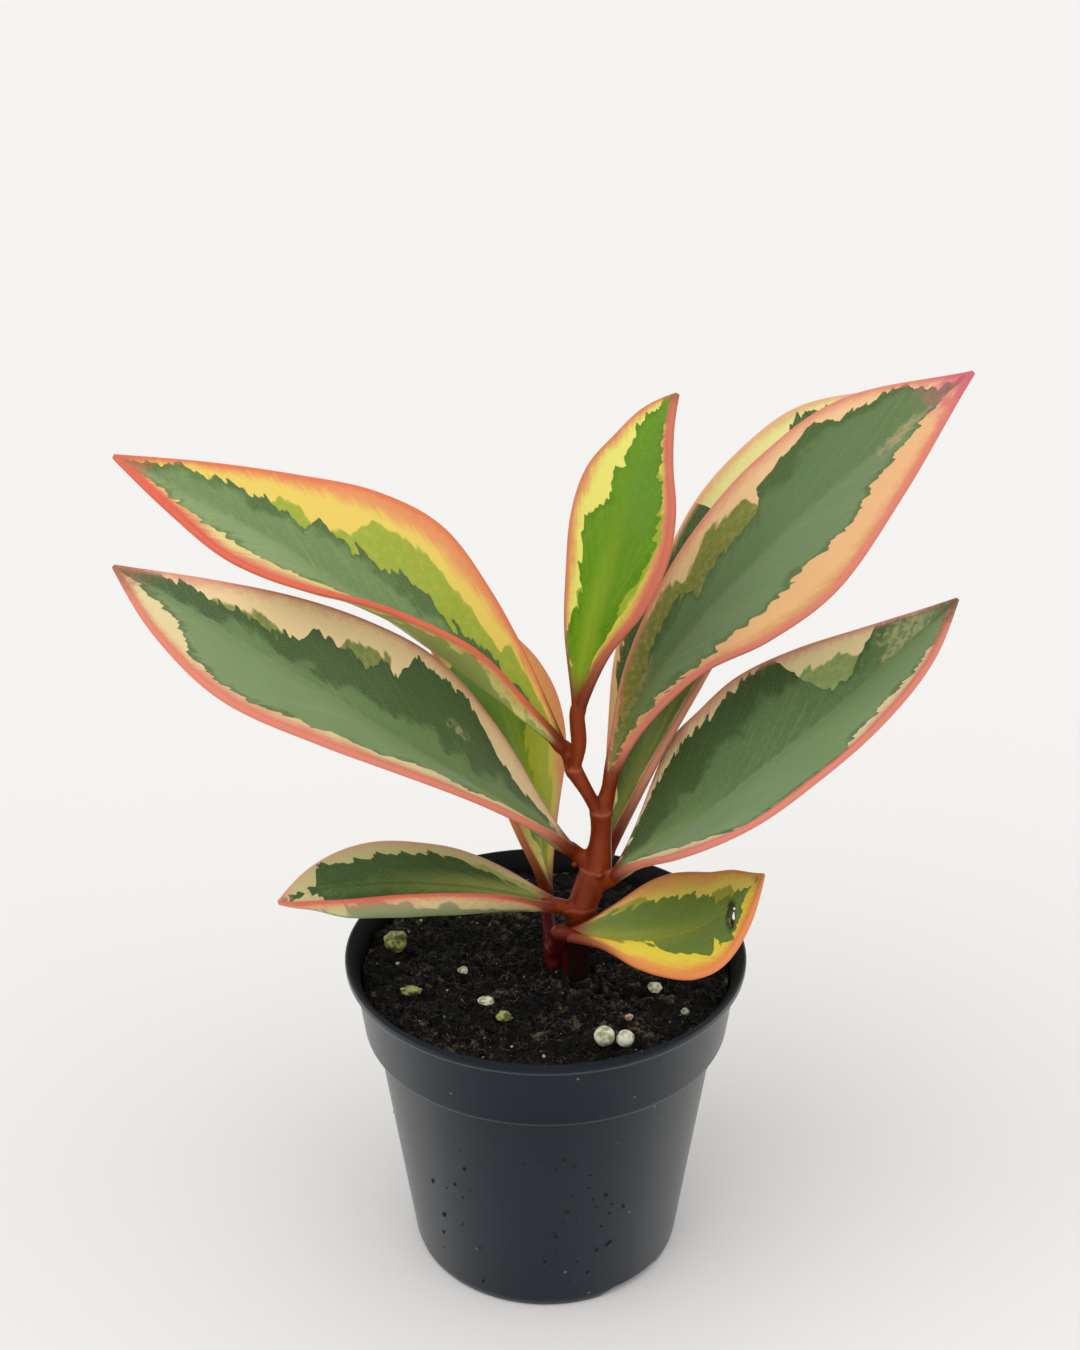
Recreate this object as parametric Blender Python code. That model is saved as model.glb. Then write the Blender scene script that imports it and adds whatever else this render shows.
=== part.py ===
"""Potted peperomia: a young plant with nine thick leaves in a 9 cm black nursery pot.

Sizes are in millimetres and MM turns them into metres. The pot stands on z = 0 with its axis on Z,
-Y is the side that faces the viewer, and +X is to the right.
"""

import math

import bmesh
import bpy
import numpy as np
from mathutils import Vector, noise

MM = 0.001
GAP = 0.3

# Pot: a thin moulded pot with a rolled lip, a collar and a tapered body on three low feet.
POT_HEIGHT = 78.0
LIP_RADIUS = 45.0
LIP_WIDTH = 2.0
LIP_HEIGHT = 2.4
COLLAR_TOP_RADIUS = 43.0
COLLAR_FOOT_RADIUS = 41.3
COLLAR_FOOT_Z = 60.0
BODY_TOP_RADIUS = 38.8
BODY_FOOT_RADIUS = 31.6
BASE_RADIUS = 30.8
CORNER_HEIGHT = 2.0
WALL = 1.1
FLOOR_UNDERSIDE = 3.0
FLOOR_TOP = 4.2
BOSS_RADIUS = 5.0
POT_SEGMENTS = 48
ARCH_HEIGHT = 2.2
ARCH_START_DEG = 24.0
ARCH_SPAN_DEG = 34.0
FOOT_COUNT = 3
DRAIN_COUNT = 6
DRAIN_RADIUS = 3.0
DRAIN_CIRCLE = 19.0

# Soil: loose peat that fills the pot to a few millimetres under the lip.
SOIL_Z = 73.0
SOIL_ROUGHNESS = 1.3
SOIL_GRAIN = 9.0
SOIL_SEGMENTS = 40
SOIL_RINGS = 9
STEM_HOLE_DEPTH = 9.0

# Leaves: blade stations along the midrib and across each half.
STATIONS = 20
HALF_COLUMNS = (0.0, 0.3, 0.55, 0.8, 1.0)
BLADE_THICKNESS = 1.5
MARGIN_THICKNESS = 1.0
PETIOLE_HALF = 1.7
PETIOLE_THICKNESS = 2.6
TIP_HALF = 0.5

# Each leaf: where its midrib starts, passes and ends; the widths of its left and right half, as seen
# from above looking to the tip, at each seventh of its length; and in degrees the roll at the base
# and the tip, the fold of each half at the base and the tip, and the curl of each half's margin.
LEAVES = {
    "leaf_upper_left": dict(
        base=(3, 5, 126), middle=(-38, 4, 160), tip=(-86, 7, 189),
        left=(4, 10, 13, 18, 15, 7), right=(11, 20, 26, 24, 17, 9),
        roll=(0, -10), fold=((70, -40), (40, 25)), curl=(30, 0)),
    "leaf_middle_left": dict(
        base=(5, -1, 104), middle=(-36, -16, 142), tip=(-85, -7, 171),
        left=(7, 12, 17, 21, 22, 13), right=(16, 22, 23, 20, 15, 8),
        roll=(0, -10), fold=((5, 5), (20, 20)), curl=(5, 30)),
    "leaf_lower_left": dict(
        base=(2, -5, 92), middle=(-30, -13, 102), tip=(-56, -19, 101),
        left=(8, 14, 17, 17, 15, 8), right=(7, 11, 12, 12, 10, 6),
        roll=(0, -5), fold=((-30, -40), (15, 15)), curl=(150, 5)),
    "leaf_top": dict(
        base=(7, 1, 137), middle=(16, 5, 178), tip=(26, 9, 201),
        left=(7, 11, 14, 14, 10, 6), right=(6, 14, 17, 15, 9, 4),
        roll=(5, 5), fold=((15, 5), (0, 0)), curl=(10, -10)),
    "leaf_upper_right": dict(
        base=(14, 3, 119), middle=(34, 8, 155), tip=(83, 6, 206),
        left=(3, 9, 15, 20, 22, 18), right=(3, 7, 12, 21, 24, 15),
        roll=(5, 20), fold=((15, 5), (0, 0)), curl=(10, -10)),
    "leaf_back_right": dict(
        base=(14, 7, 99), middle=(44, 30, 158), tip=(70, 50, 190),
        left=(11, 19, 18, 18, 15, 10), right=(7, 14, 18, 18, 15, 9),
        roll=(-5, 0), fold=((15, 15), (20, 20)), curl=(25, 30)),
    "leaf_lower_right": dict(
        base=(15, -3, 98), middle=(46, -9, 128), tip=(85, 6, 159),
        left=(16, 23, 23, 22, 17, 9), right=(9, 21, 26, 23, 19, 12),
        roll=(5, 0), fold=((15, 15), (10, 10)), curl=(25, 10)),
    "leaf_small_right": dict(
        base=(5, -11, 88), middle=(29, -17, 92), tip=(45, -21, 109),
        left=(8, 14, 16, 15, 12, 8), right=(2, 7, 11, 14, 14, 9),
        roll=(5, 5), fold=((15, 15), (-5, -5)), curl=(25, -20)),
    "leaf_back_left": dict(
        base=(0, 9, 88), middle=(-10, 19, 130), tip=(-28, 42, 144),
        left=(8, 12, 15, 15, 12, 7), right=(8, 15, 17, 16, 13, 8),
        roll=(5, 0), fold=((10, 10), (0, 0)), curl=(10, -15)),
}

# Stems: the points of each stretch and its radius at each point. The first starts in the soil, and
# the others start inside the stretch that they grow from.
STEM_SIDES = 8
STEMS = {
    "trunk": (((7, -3, 65), (7, -3, 78), (8, -3, 90), (11, -1, 99), (12, 0, 106), (12, 0, 113)),
              (3.0, 3.1, 3.3, 3.3, 2.4, 2.5)),
    "left_branch": (((12, 0, 111), (9, 0, 117), (6, 1, 122)), (1.6, 1.5, 1.9)),
    "side_shoot": (((2, 0, 65), (2, 1, 74), (1.5, 3, 79)), (2.2, 2.4, 2.1)),
}

# Petioles: the leaf that each carries, its points before it meets the blade and its first radius.
PETIOLE_RADIUS = 1.7
PETIOLE_STRAIGHT = 2.5
PETIOLES = {
    "leaf_top": (((6, 1, 121), (7, 1, 128)), 1.2),
    "leaf_upper_left": (((6, 1, 121),), 1.7),
    "leaf_upper_right": (((12, 0, 111),), 2.3),
    "leaf_middle_left": (((11, -1, 98),), 2.2),
    "leaf_lower_right": (((10, -1, 95),), 2.2),
    "leaf_back_right": (((10, -1, 95),), 2.2),
    "leaf_lower_left": (((8, -3, 88),), 2.2),
    "leaf_back_left": (((1.5, 2, 77), (0.5, 6, 82)), 1.9),
    "leaf_small_right": (((2, 1, 76), (3, -4, 81)), 2.0),
}
STEM_HOLES = ((7, -3, 4.0), (2, 0.3, 3.2))

# Grains that lie on the soil: x, y, the three half sizes and the colour family.
GRAINS = {
    "grain_left": (-34, 5, 2.7, 2.5, 2.3, "olive"),
    "grain_left_front": (-29.5, -13, 2.2, 1.2, 1.0, "olive"),
    "grain_front": (-13, -17, 1.6, 1.2, 0.9, "white"),
    "grain_front_low": (-9, -22.5, 1.5, 1.3, 1.2, "olive"),
    "bead_front": (12.3, -31, 2.2, 2.2, 2.1, "white"),
    "bead_front_right": (16.7, -31.6, 1.9, 1.9, 1.8, "white"),
    "grain_pink": (17.8, -23, 0.9, 0.8, 0.7, "pink"),
    "grain_right": (24, -12, 1.5, 1.3, 1.2, "white"),
    "grain_clear": (30, -20.5, 0.9, 0.8, 0.7, "clear"),
    "grain_back": (-18.5, -4, 1.1, 0.9, 0.8, "white"),
}

COLOURS = {
    "pot": (0.035, 0.038, 0.042, 0.45),
    "soil": (0.035, 0.022, 0.016, 0.95),
    "stem": (0.30, 0.055, 0.035, 0.45),
    "leaf": (0.30, 0.36, 0.20, 0.5),
    "olive": (0.45, 0.45, 0.18, 0.7),
    "white": (0.85, 0.83, 0.76, 0.6),
    "pink": (0.62, 0.40, 0.33, 0.7),
    "clear": (0.62, 0.64, 0.58, 0.3),
}


def clear_scene():
    for item in list(bpy.data.objects):
        bpy.data.objects.remove(item)


def material(name):
    """One Principled material for each colour family, made once."""
    found = bpy.data.materials.get(name)
    if found:
        return found
    red, green, blue, roughness = COLOURS[name]
    made = bpy.data.materials.new(name)
    made.use_nodes = True
    shader = made.node_tree.nodes["Principled BSDF"]
    shader.inputs["Base Color"].default_value = (red, green, blue, 1.0)
    shader.inputs["Roughness"].default_value = roughness
    shader.inputs["Metallic"].default_value = 0.0
    return made


def add_object(name, points, faces, colour):
    """A mesh object from points in millimetres, with outward faces and smooth shading."""
    mesh = bpy.data.meshes.new(name)
    mesh.from_pydata([tuple(float(c) * MM for c in point) for point in points], [], faces)
    work = bmesh.new()
    work.from_mesh(mesh)
    bmesh.ops.recalc_face_normals(work, faces=work.faces)
    work.to_mesh(mesh)
    work.free()
    mesh.shade_smooth()
    mesh.set_sharp_from_angle(angle=math.radians(40))
    made = bpy.data.objects.new(name, mesh)
    made.data.materials.append(material(colour))
    bpy.context.scene.collection.objects.link(made)
    return made


def add_cutter(target, cutter, operation):
    """Lets one object cut or join another, and hides the helper."""
    cutter.hide_render = True
    cutter.display_type = "WIRE"
    modifier = target.modifiers.new(cutter.name, "BOOLEAN")
    modifier.operation = operation
    modifier.solver = "EXACT"
    modifier.object = cutter


def rings_of_faces(rings, segments):
    """Quads between rings of equal length, for a shape that is closed by a fan at each end."""
    faces = []
    for ring in range(rings - 1):
        for k in range(segments):
            after = (k + 1) % segments
            faces.append((ring * segments + k, ring * segments + after,
                          (ring + 1) * segments + after, (ring + 1) * segments + k))
    return faces


def turned(name, profile, segments, colour, height_at=None):
    """A closed turned solid: a profile of (radius, z) whose first and last points are on the axis."""
    points = []
    for radius, z in profile[1:-1]:
        for k in range(segments):
            angle = 2 * math.pi * k / segments
            x = radius * math.cos(angle)
            y = radius * math.sin(angle)
            points.append((x, y, height_at(x, y, z) if height_at else z))
    rings = len(profile) - 2
    faces = rings_of_faces(rings, segments)
    first = len(points)
    points.append((0, 0, profile[0][1]))
    points.append((0, 0, height_at(0, 0, profile[-1][1]) if height_at else profile[-1][1]))
    top = (rings - 1) * segments
    for k in range(segments):
        after = (k + 1) % segments
        faces.append((first, after, k))
        faces.append((first + 1, top + k, top + after))
    return add_object(name, points, faces, colour)


def cylinder(name, x, y, radius, low, high, sides=20):
    """A plain upright cylinder, used to drill holes."""
    made = turned(name, [(0, low), (radius, low), (radius, high), (0, high)], sides, "pot")
    made.location = (x * MM, y * MM, 0)
    return made


def pot_profile():
    """Outer side from the boss under the floor up to the lip, then the inner side down."""
    lip_low = POT_HEIGHT - LIP_HEIGHT
    lip_inner = LIP_RADIUS - LIP_WIDTH
    return [
        (0, 0), (BOSS_RADIUS, 0), (BOSS_RADIUS + 1, FLOOR_UNDERSIDE),
        (BASE_RADIUS - WALL, FLOOR_UNDERSIDE), (BASE_RADIUS - WALL, 0), (BASE_RADIUS - 0.3, 0),
        (BASE_RADIUS + 0.3, 0.6), (BODY_FOOT_RADIUS, CORNER_HEIGHT),
        (BODY_TOP_RADIUS, COLLAR_FOOT_Z - 0.6), (COLLAR_FOOT_RADIUS - 0.5, COLLAR_FOOT_Z - 0.3),
        (COLLAR_FOOT_RADIUS, COLLAR_FOOT_Z + 0.3), (COLLAR_TOP_RADIUS, lip_low - 0.8),
        (LIP_RADIUS - 0.6, lip_low), (LIP_RADIUS, lip_low + 0.6), (LIP_RADIUS, POT_HEIGHT - 0.8),
        (LIP_RADIUS - 0.6, POT_HEIGHT), (lip_inner + 0.4, POT_HEIGHT),
        (lip_inner, POT_HEIGHT - 0.5), (COLLAR_TOP_RADIUS - WALL, lip_low - 0.8),
        (COLLAR_FOOT_RADIUS - WALL, COLLAR_FOOT_Z + 0.8),
        (BODY_TOP_RADIUS - WALL, COLLAR_FOOT_Z - 0.9),
        (BODY_FOOT_RADIUS - WALL - 0.2, FLOOR_TOP + 1), (BODY_FOOT_RADIUS - WALL - 1.2, FLOOR_TOP),
        (0, FLOOR_TOP),
    ]


def add_pot():
    pot = turned("pot", pot_profile(), POT_SEGMENTS, "pot")
    for foot in range(FOOT_COUNT):
        start = math.radians(ARCH_START_DEG - 90 + foot * 360 / FOOT_COUNT)
        arch = arch_cutter("arch_%d" % foot, start, start + math.radians(ARCH_SPAN_DEG))
        add_cutter(pot, arch, "DIFFERENCE")
    for k in range(DRAIN_COUNT):
        angle = 2 * math.pi * (k + 0.5) / DRAIN_COUNT
        drill = cylinder("drain_%d" % k, DRAIN_CIRCLE * math.cos(angle),
                         DRAIN_CIRCLE * math.sin(angle), DRAIN_RADIUS, 1, 6, 14)
        add_cutter(pot, drill, "DIFFERENCE")
    return pot


def arch_cutter(name, start, end):
    """A low curved block that takes the foot ring away between two feet, with sloped ends."""
    slope = math.radians(4)
    inner = BASE_RADIUS - 3
    outer = BASE_RADIUS + 4
    steps = 6
    points = []
    for z, spread in ((-1, 0.0), (ARCH_HEIGHT, slope)):
        for radius in (inner, outer):
            for k in range(steps + 1):
                angle = start + spread + (end - start - 2 * spread) * k / steps
                points.append((radius * math.cos(angle), radius * math.sin(angle), z))
    row = steps + 1
    low_in, low_out, high_in, high_out = 0, row, 2 * row, 3 * row
    faces = []
    for k in range(steps):
        faces.append((low_in + k, low_out + k, low_out + k + 1, low_in + k + 1))
        faces.append((high_in + k, high_in + k + 1, high_out + k + 1, high_out + k))
        faces.append((low_in + k, low_in + k + 1, high_in + k + 1, high_in + k))
        faces.append((low_out + k, high_out + k, high_out + k + 1, low_out + k + 1))
    for k in (0, steps):
        faces.append((low_in + k, high_in + k, high_out + k, low_out + k))
    return add_object(name, points, faces, "pot")


def soil_height(x, y):
    """Uneven height of the soil's surface, level near the wall."""
    bump = noise.fractal(Vector((x / SOIL_GRAIN, y / SOIL_GRAIN, 3.0)), 0.6, 2.0, 3)
    return SOIL_Z + SOIL_ROUGHNESS * bump


def add_soil():
    inner = WALL + GAP
    edge = COLLAR_TOP_RADIUS - inner - 0.3
    profile = [(0, FLOOR_TOP + GAP), (BODY_FOOT_RADIUS - inner - 1.4, FLOOR_TOP + GAP),
               (BODY_TOP_RADIUS - inner - 0.2, COLLAR_FOOT_Z - 1.2),
               (COLLAR_FOOT_RADIUS - inner - 0.2, COLLAR_FOOT_Z + 0.9),
               (edge, SOIL_Z - 1)]
    for ring in range(1, SOIL_RINGS):
        profile.append((edge * (1 - ring / SOIL_RINGS), SOIL_Z))
    profile.append((0, SOIL_Z))

    def height(x, y, z):
        return soil_height(x, y) if z == SOIL_Z else z

    soil = turned("soil", profile, SOIL_SEGMENTS, "soil", height)
    for number, (x, y, radius) in enumerate(STEM_HOLES):
        hole = cylinder("stem_hole_%d" % number, x, y, radius, SOIL_Z - STEM_HOLE_DEPTH, SOIL_Z + 6)
        add_cutter(soil, hole, "DIFFERENCE")
    return soil


def smooth_path(points, radii, steps):
    """Points and radii along a smooth curve through the given ones."""
    points = np.array(points, float)
    padded = np.vstack([2 * points[0] - points[1], points, 2 * points[-1] - points[-2]])
    wide = np.array([radii[0], *radii, radii[-1]], float)
    out, sizes = [], []
    for k in range(1, len(points)):
        for step in range(steps):
            t = step / steps
            weights = np.array([-t + 2 * t**2 - t**3, 2 - 5 * t**2 + 3 * t**3,
                                t + 4 * t**2 - 3 * t**3, -t**2 + t**3]) / 2
            out.append(weights @ padded[k - 1:k + 3])
            sizes.append(weights @ wide[k - 1:k + 3])
    out.append(points[-1])
    sizes.append(radii[-1])
    return np.array(out), np.array(sizes)


def stem_tube(name, points, radii):
    """A closed tube with flat ends through the points of one stretch of stem."""
    path, sizes = smooth_path(points, radii, 2)
    along = np.gradient(path, axis=0)
    along[-1] = np.subtract(points[-1], points[-2])
    rings = []
    side = np.array([1.0, 0.0, 0.0])
    for point, size, direction in zip(path, sizes, along):
        forward = direction / np.linalg.norm(direction)
        side = side - forward * (side @ forward)
        side = side / np.linalg.norm(side)
        other = np.cross(forward, side)
        for k in range(STEM_SIDES):
            angle = 2 * math.pi * k / STEM_SIDES
            rings.append(point + size * (math.cos(angle) * side + math.sin(angle) * other))
    faces = rings_of_faces(len(path), STEM_SIDES)
    last = (len(path) - 1) * STEM_SIDES
    faces.append(tuple(range(STEM_SIDES)))
    faces.append(tuple(last + k for k in range(STEM_SIDES)))
    return add_object(name, rings, faces, "stem")


def add_stem():
    """The trunk, its branches and the petioles, joined into one solid."""
    stretches = {name: points_and_radii for name, points_and_radii in STEMS.items()}
    for name, (points, first_radius) in PETIOLES.items():
        leaf = LEAVES[name]
        base = np.array(leaf["base"], float)
        forward = unit(midrib_control(leaf) - base)
        end = (*points, base - PETIOLE_STRAIGHT * forward, base - GAP * forward)
        radii = (first_radius, *[PETIOLE_RADIUS] * (len(end) - 1))
        stretches[name + "_petiole"] = (end, radii)
    stem = stem_tube("stem", *stretches.pop("trunk"))
    for name, (points, radii) in stretches.items():
        add_cutter(stem, stem_tube(name, points, radii), "UNION")
    return stem


def unit(vectors):
    return vectors / np.linalg.norm(vectors, axis=-1, keepdims=True)


def midrib_control(leaf):
    """The point that pulls the midrib so that it passes through the leaf's middle point."""
    base, middle, tip = (np.array(leaf[key], float) for key in ("base", "middle", "tip"))
    return 2 * middle - (base + tip) / 2


def half_width(widths, u):
    """Width of one half along the blade: a smooth curve through the given widths and both ends."""
    knots = np.array([-widths[0], 0, *widths, 0, -widths[-1]], float)
    place = u * (len(widths) + 1)
    k = np.minimum(place.astype(int), len(widths))
    t = place - k
    return (knots[k] * (-t + 2 * t**2 - t**3) + knots[k + 1] * (2 - 5 * t**2 + 3 * t**3)
            + knots[k + 2] * (t + 4 * t**2 - 3 * t**3) + knots[k + 3] * (t**3 - t**2)) / 2


def half_section(fold, curl, u, columns):
    """Across one half of a blade of width 1, at each row: how far out and up each column is."""
    fine = np.linspace(0, 1, 49)
    middle = (fine[1:] + fine[:-1]) / 2
    angle = np.radians(fold[0] + (fold[1] - fold[0]) * u[:, None] + curl * middle**1.5)
    start = np.zeros((len(u), 1))
    out = np.hstack([start, np.cumsum(np.cos(angle), axis=1)]) / len(middle)
    rise = np.hstack([start, np.cumsum(np.sin(angle), axis=1)]) / len(middle)
    return (np.array([np.interp(columns, fine, row) for row in out]),
            np.array([np.interp(columns, fine, row) for row in rise]))


def blade_surface(leaf, u, columns):
    """Middle surface of a blade, in rows from base to tip and columns from the right edge to the
    left, and the midrib's direction at each row."""
    base, tip = (np.array(leaf[key], float) for key in ("base", "tip"))
    control = midrib_control(leaf)
    t = u[:, None]
    midrib = (1 - t)**2 * base + 2 * t * (1 - t) * control + t**2 * tip
    along = unit((1 - t) * (control - base) + t * (tip - control))
    level = unit(np.cross([0.0, 0.0, 1.0], along))
    above = np.cross(along, level)
    roll = np.radians(leaf["roll"][0] + (leaf["roll"][1] - leaf["roll"][0]) * t)
    side = level * np.cos(roll) + above * np.sin(roll)
    normal = above * np.cos(roll) - level * np.sin(roll)
    stem_width = PETIOLE_HALF * (1 - u)**8 + TIP_HALF * u**8
    halves = []
    for half, hand, sign in (("right", 1, -1), ("left", 0, 1)):
        width = (half_width(leaf[half], u) + stem_width)[:, None, None]
        out, rise = half_section(leaf["fold"][hand], leaf["curl"][hand], u, columns)
        halves.append(midrib[:, None] + width * (sign * out[:, :, None] * side[:, None]
                                                 + rise[:, :, None] * normal[:, None]))
    return np.concatenate([halves[0][:, ::-1], halves[1][:, 1:]], axis=1), along


def add_leaf(name, leaf):
    """A closed blade of even thickness, thicker where it meets its petiole."""
    u = np.linspace(0, 1, STATIONS)
    columns = np.array(HALF_COLUMNS)
    surface, along = blade_surface(leaf, u, columns)
    rows, across = surface.shape[:2]
    normal = np.cross(np.gradient(surface, axis=0), np.gradient(surface, axis=1))
    along = along[:, None]
    normal = unit(normal - along * (normal * along).sum(axis=-1, keepdims=True))
    edge = np.concatenate([columns[::-1], columns[1:]])
    thickness = BLADE_THICKNESS + (MARGIN_THICKNESS - BLADE_THICKNESS) * edge[None, :]**2
    thickness = thickness + (PETIOLE_THICKNESS - BLADE_THICKNESS) * (1 - u[:, None])**8
    offset = normal * thickness[:, :, None] / 2
    points = np.concatenate([(surface + offset).reshape(-1, 3), (surface - offset).reshape(-1, 3)])
    under = rows * across
    faces = []
    for row in range(rows - 1):
        for column in range(across - 1):
            a = row * across + column
            b, c, d = a + 1, a + across + 1, a + across
            for triangle in ((a, b, c), (a, c, d)):
                faces.append(triangle)
                faces.append(tuple(under + k for k in reversed(triangle)))
    border = [column for column in range(across)]
    border += [row * across + across - 1 for row in range(1, rows)]
    border += [(rows - 1) * across + column for column in range(across - 2, -1, -1)]
    border += [row * across for row in range(rows - 2, 0, -1)]
    for k, here in enumerate(border):
        after = border[(k + 1) % len(border)]
        faces.append((here, after, under + after, under + here))
    return add_object(name, points, faces, "leaf")


def add_grain(name, x, y, half_x, half_y, half_z, colour):
    """A squashed ball that rests on the highest soil under it."""
    work = bmesh.new()
    bmesh.ops.create_icosphere(work, subdivisions=2, radius=1.0)
    ball = [(v.co.x * half_x, v.co.y * half_y, v.co.z * half_z) for v in work.verts]
    faces = [tuple(v.index for v in face.verts) for face in work.faces]
    work.free()
    seat = max(soil_height(x + dx, y + dy) for dx in (-4, 0, 4) for dy in (-4, 0, 4))
    z = seat + half_z + GAP
    return add_object(name, [(x + a, y + b, z + c) for a, b, c in ball], faces, colour)


clear_scene()
add_pot()
add_soil()
add_stem()
for leaf_name, leaf_shape in LEAVES.items():
    add_leaf(leaf_name, leaf_shape)
for grain_name, grain in GRAINS.items():
    add_grain(grain_name, *grain)
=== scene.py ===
import math

import bmesh
import bpy
import numpy as np
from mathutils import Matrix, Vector, noise


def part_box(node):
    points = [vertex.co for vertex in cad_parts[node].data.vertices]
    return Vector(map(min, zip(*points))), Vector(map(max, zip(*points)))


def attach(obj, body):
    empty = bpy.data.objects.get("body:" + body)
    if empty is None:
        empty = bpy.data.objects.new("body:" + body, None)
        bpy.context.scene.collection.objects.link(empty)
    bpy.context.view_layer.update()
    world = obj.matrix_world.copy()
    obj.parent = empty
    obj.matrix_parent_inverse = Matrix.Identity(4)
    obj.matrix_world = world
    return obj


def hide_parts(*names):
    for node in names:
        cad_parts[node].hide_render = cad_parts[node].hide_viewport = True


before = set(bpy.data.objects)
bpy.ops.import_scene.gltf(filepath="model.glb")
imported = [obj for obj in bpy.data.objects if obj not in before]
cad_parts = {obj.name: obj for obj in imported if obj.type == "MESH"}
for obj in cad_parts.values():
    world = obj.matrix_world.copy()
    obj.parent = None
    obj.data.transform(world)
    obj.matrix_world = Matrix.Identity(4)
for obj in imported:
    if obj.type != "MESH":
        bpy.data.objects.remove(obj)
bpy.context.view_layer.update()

MM = 0.001

# The photographer's side: a camera close in front of the plant, looking 28 degrees down, whose
# picture is shifted up so that the tall leaves and the pot both fit.
PICTURE_HEIGHT = 1350
FOCAL_PIXELS = 1765
OPTICAL_AXIS_DOWN = 125
OPTICAL_AXIS_RIGHT = 5.7
SENSOR = 36.0

camera = bpy.data.objects.new("camera", bpy.data.cameras.new("camera"))
camera.location = (0, -0.335, 0.2934)
camera.rotation_euler = (math.radians(90 - 28), 0, 0)
camera.data.sensor_width = SENSOR
camera.data.lens = FOCAL_PIXELS / PICTURE_HEIGHT * SENSOR
camera.data.shift_x = -OPTICAL_AXIS_RIGHT / PICTURE_HEIGHT
camera.data.shift_y = OPTICAL_AXIS_DOWN / PICTURE_HEIGHT
camera.data.clip_start = 0.01
bpy.context.scene.collection.objects.link(camera)
bpy.context.scene.camera = camera


# The studio: a wide warm-white sheet of paper under a very broad lamp from the front left and a
# weaker one from the right, in a bright room whose wall is the same white.
def linear(hex_colour):
    """An sRGB colour such as #a0b1c2 as linear red, green, blue and alpha."""
    parts = [int(hex_colour[k:k + 2], 16) / 255 for k in (1, 3, 5)]
    return (*[c / 12.92 if c < 0.04045 else ((c + 0.055) / 1.055)**2.4 for c in parts], 1.0)


def place_node(tree, kind, inputs=(), **settings):
    """Adds a shader node, sets its properties, and fills its sockets with values or links."""
    made = tree.nodes.new("ShaderNode" + kind)
    for name, value in settings.items():
        setattr(made, name, value)
    for socket, value in dict(inputs).items():
        if isinstance(value, bpy.types.NodeSocket):
            tree.links.new(value, made.inputs[socket])
        else:
            made.inputs[socket].default_value = value
    return made


def blend(tree, factor, first, second):
    """The colour that lies factor of the way from the first to the second."""
    return place_node(tree, "Mix", {0: factor, 6: first, 7: second}, data_type="RGBA").outputs[2]


def new_material(name, roughness, gloss=0.5):
    """A material, its tree and its Principled shader."""
    made = bpy.data.materials.new(name)
    made.use_nodes = True
    shader = made.node_tree.nodes["Principled BSDF"]
    shader.inputs["Roughness"].default_value = roughness
    shader.inputs["Specular IOR Level"].default_value = gloss
    return made, made.node_tree, shader


def add_piece(name, points, faces, material=None):
    """A smooth mesh piece from points in millimetres."""
    mesh = bpy.data.meshes.new(name)
    mesh.from_pydata(np.asarray(points, float) * MM, [], faces)
    mesh.validate()
    mesh.shade_smooth()
    mesh.set_sharp_from_angle(angle=math.radians(55))
    piece = bpy.data.objects.new(name, mesh)
    bpy.context.scene.collection.objects.link(piece)
    if material:
        mesh.materials.append(material)
    return piece


paper, paper_tree, paper_shader = new_material("studio_paper", 0.9)
paper_shader.inputs["Base Color"].default_value = linear("#f6f5f4")
FLOOR_HALF = 20000
floor = add_piece("studio_floor", [(-FLOOR_HALF, -FLOOR_HALF, 0), (FLOOR_HALF, -FLOOR_HALF, 0),
                                   (FLOOR_HALF, FLOOR_HALF, 0), (-FLOOR_HALF, FLOOR_HALF, 0)],
                  [(0, 1, 2, 3)], paper)


def soft_light(name, place, spread_deg, strength):
    """A broad distant light that shines from a place towards the plant."""
    lamp = bpy.data.lights.new(name, "SUN")
    lamp.angle = math.radians(spread_deg)
    lamp.energy = strength
    made = bpy.data.objects.new(name, lamp)
    made.rotation_euler = (-Vector(place)).to_track_quat("-Z", "Y").to_euler()
    bpy.context.scene.collection.objects.link(made)


soft_light("key_light", (-0.5, -0.5, 1.0), 60, 0.85)
soft_light("side_light", (0.9, -0.4, 0.8), 60, 0.35)
room = bpy.data.worlds.new("bright_room")
bpy.context.scene.world = room
room.use_nodes = True
glow = room.node_tree.nodes["Background"]
glow.inputs["Color"].default_value = linear("#f6f4f2")
glow.inputs["Strength"].default_value = 0.77
backdrop = room.node_tree.nodes.new("ShaderNodeBackground")
backdrop.inputs["Color"].default_value = linear("#f6f4f1")
seen = room.node_tree.nodes.new("ShaderNodeLightPath")
either = room.node_tree.nodes.new("ShaderNodeMixShader")
room.node_tree.links.new(seen.outputs["Is Camera Ray"], either.inputs[0])
room.node_tree.links.new(glow.outputs[0], either.inputs[1])
room.node_tree.links.new(backdrop.outputs[0], either.inputs[2])
room.node_tree.links.new(either.outputs[0], room.node_tree.nodes["World Output"].inputs["Surface"])
bpy.context.scene.view_settings.view_transform = "Standard"

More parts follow.
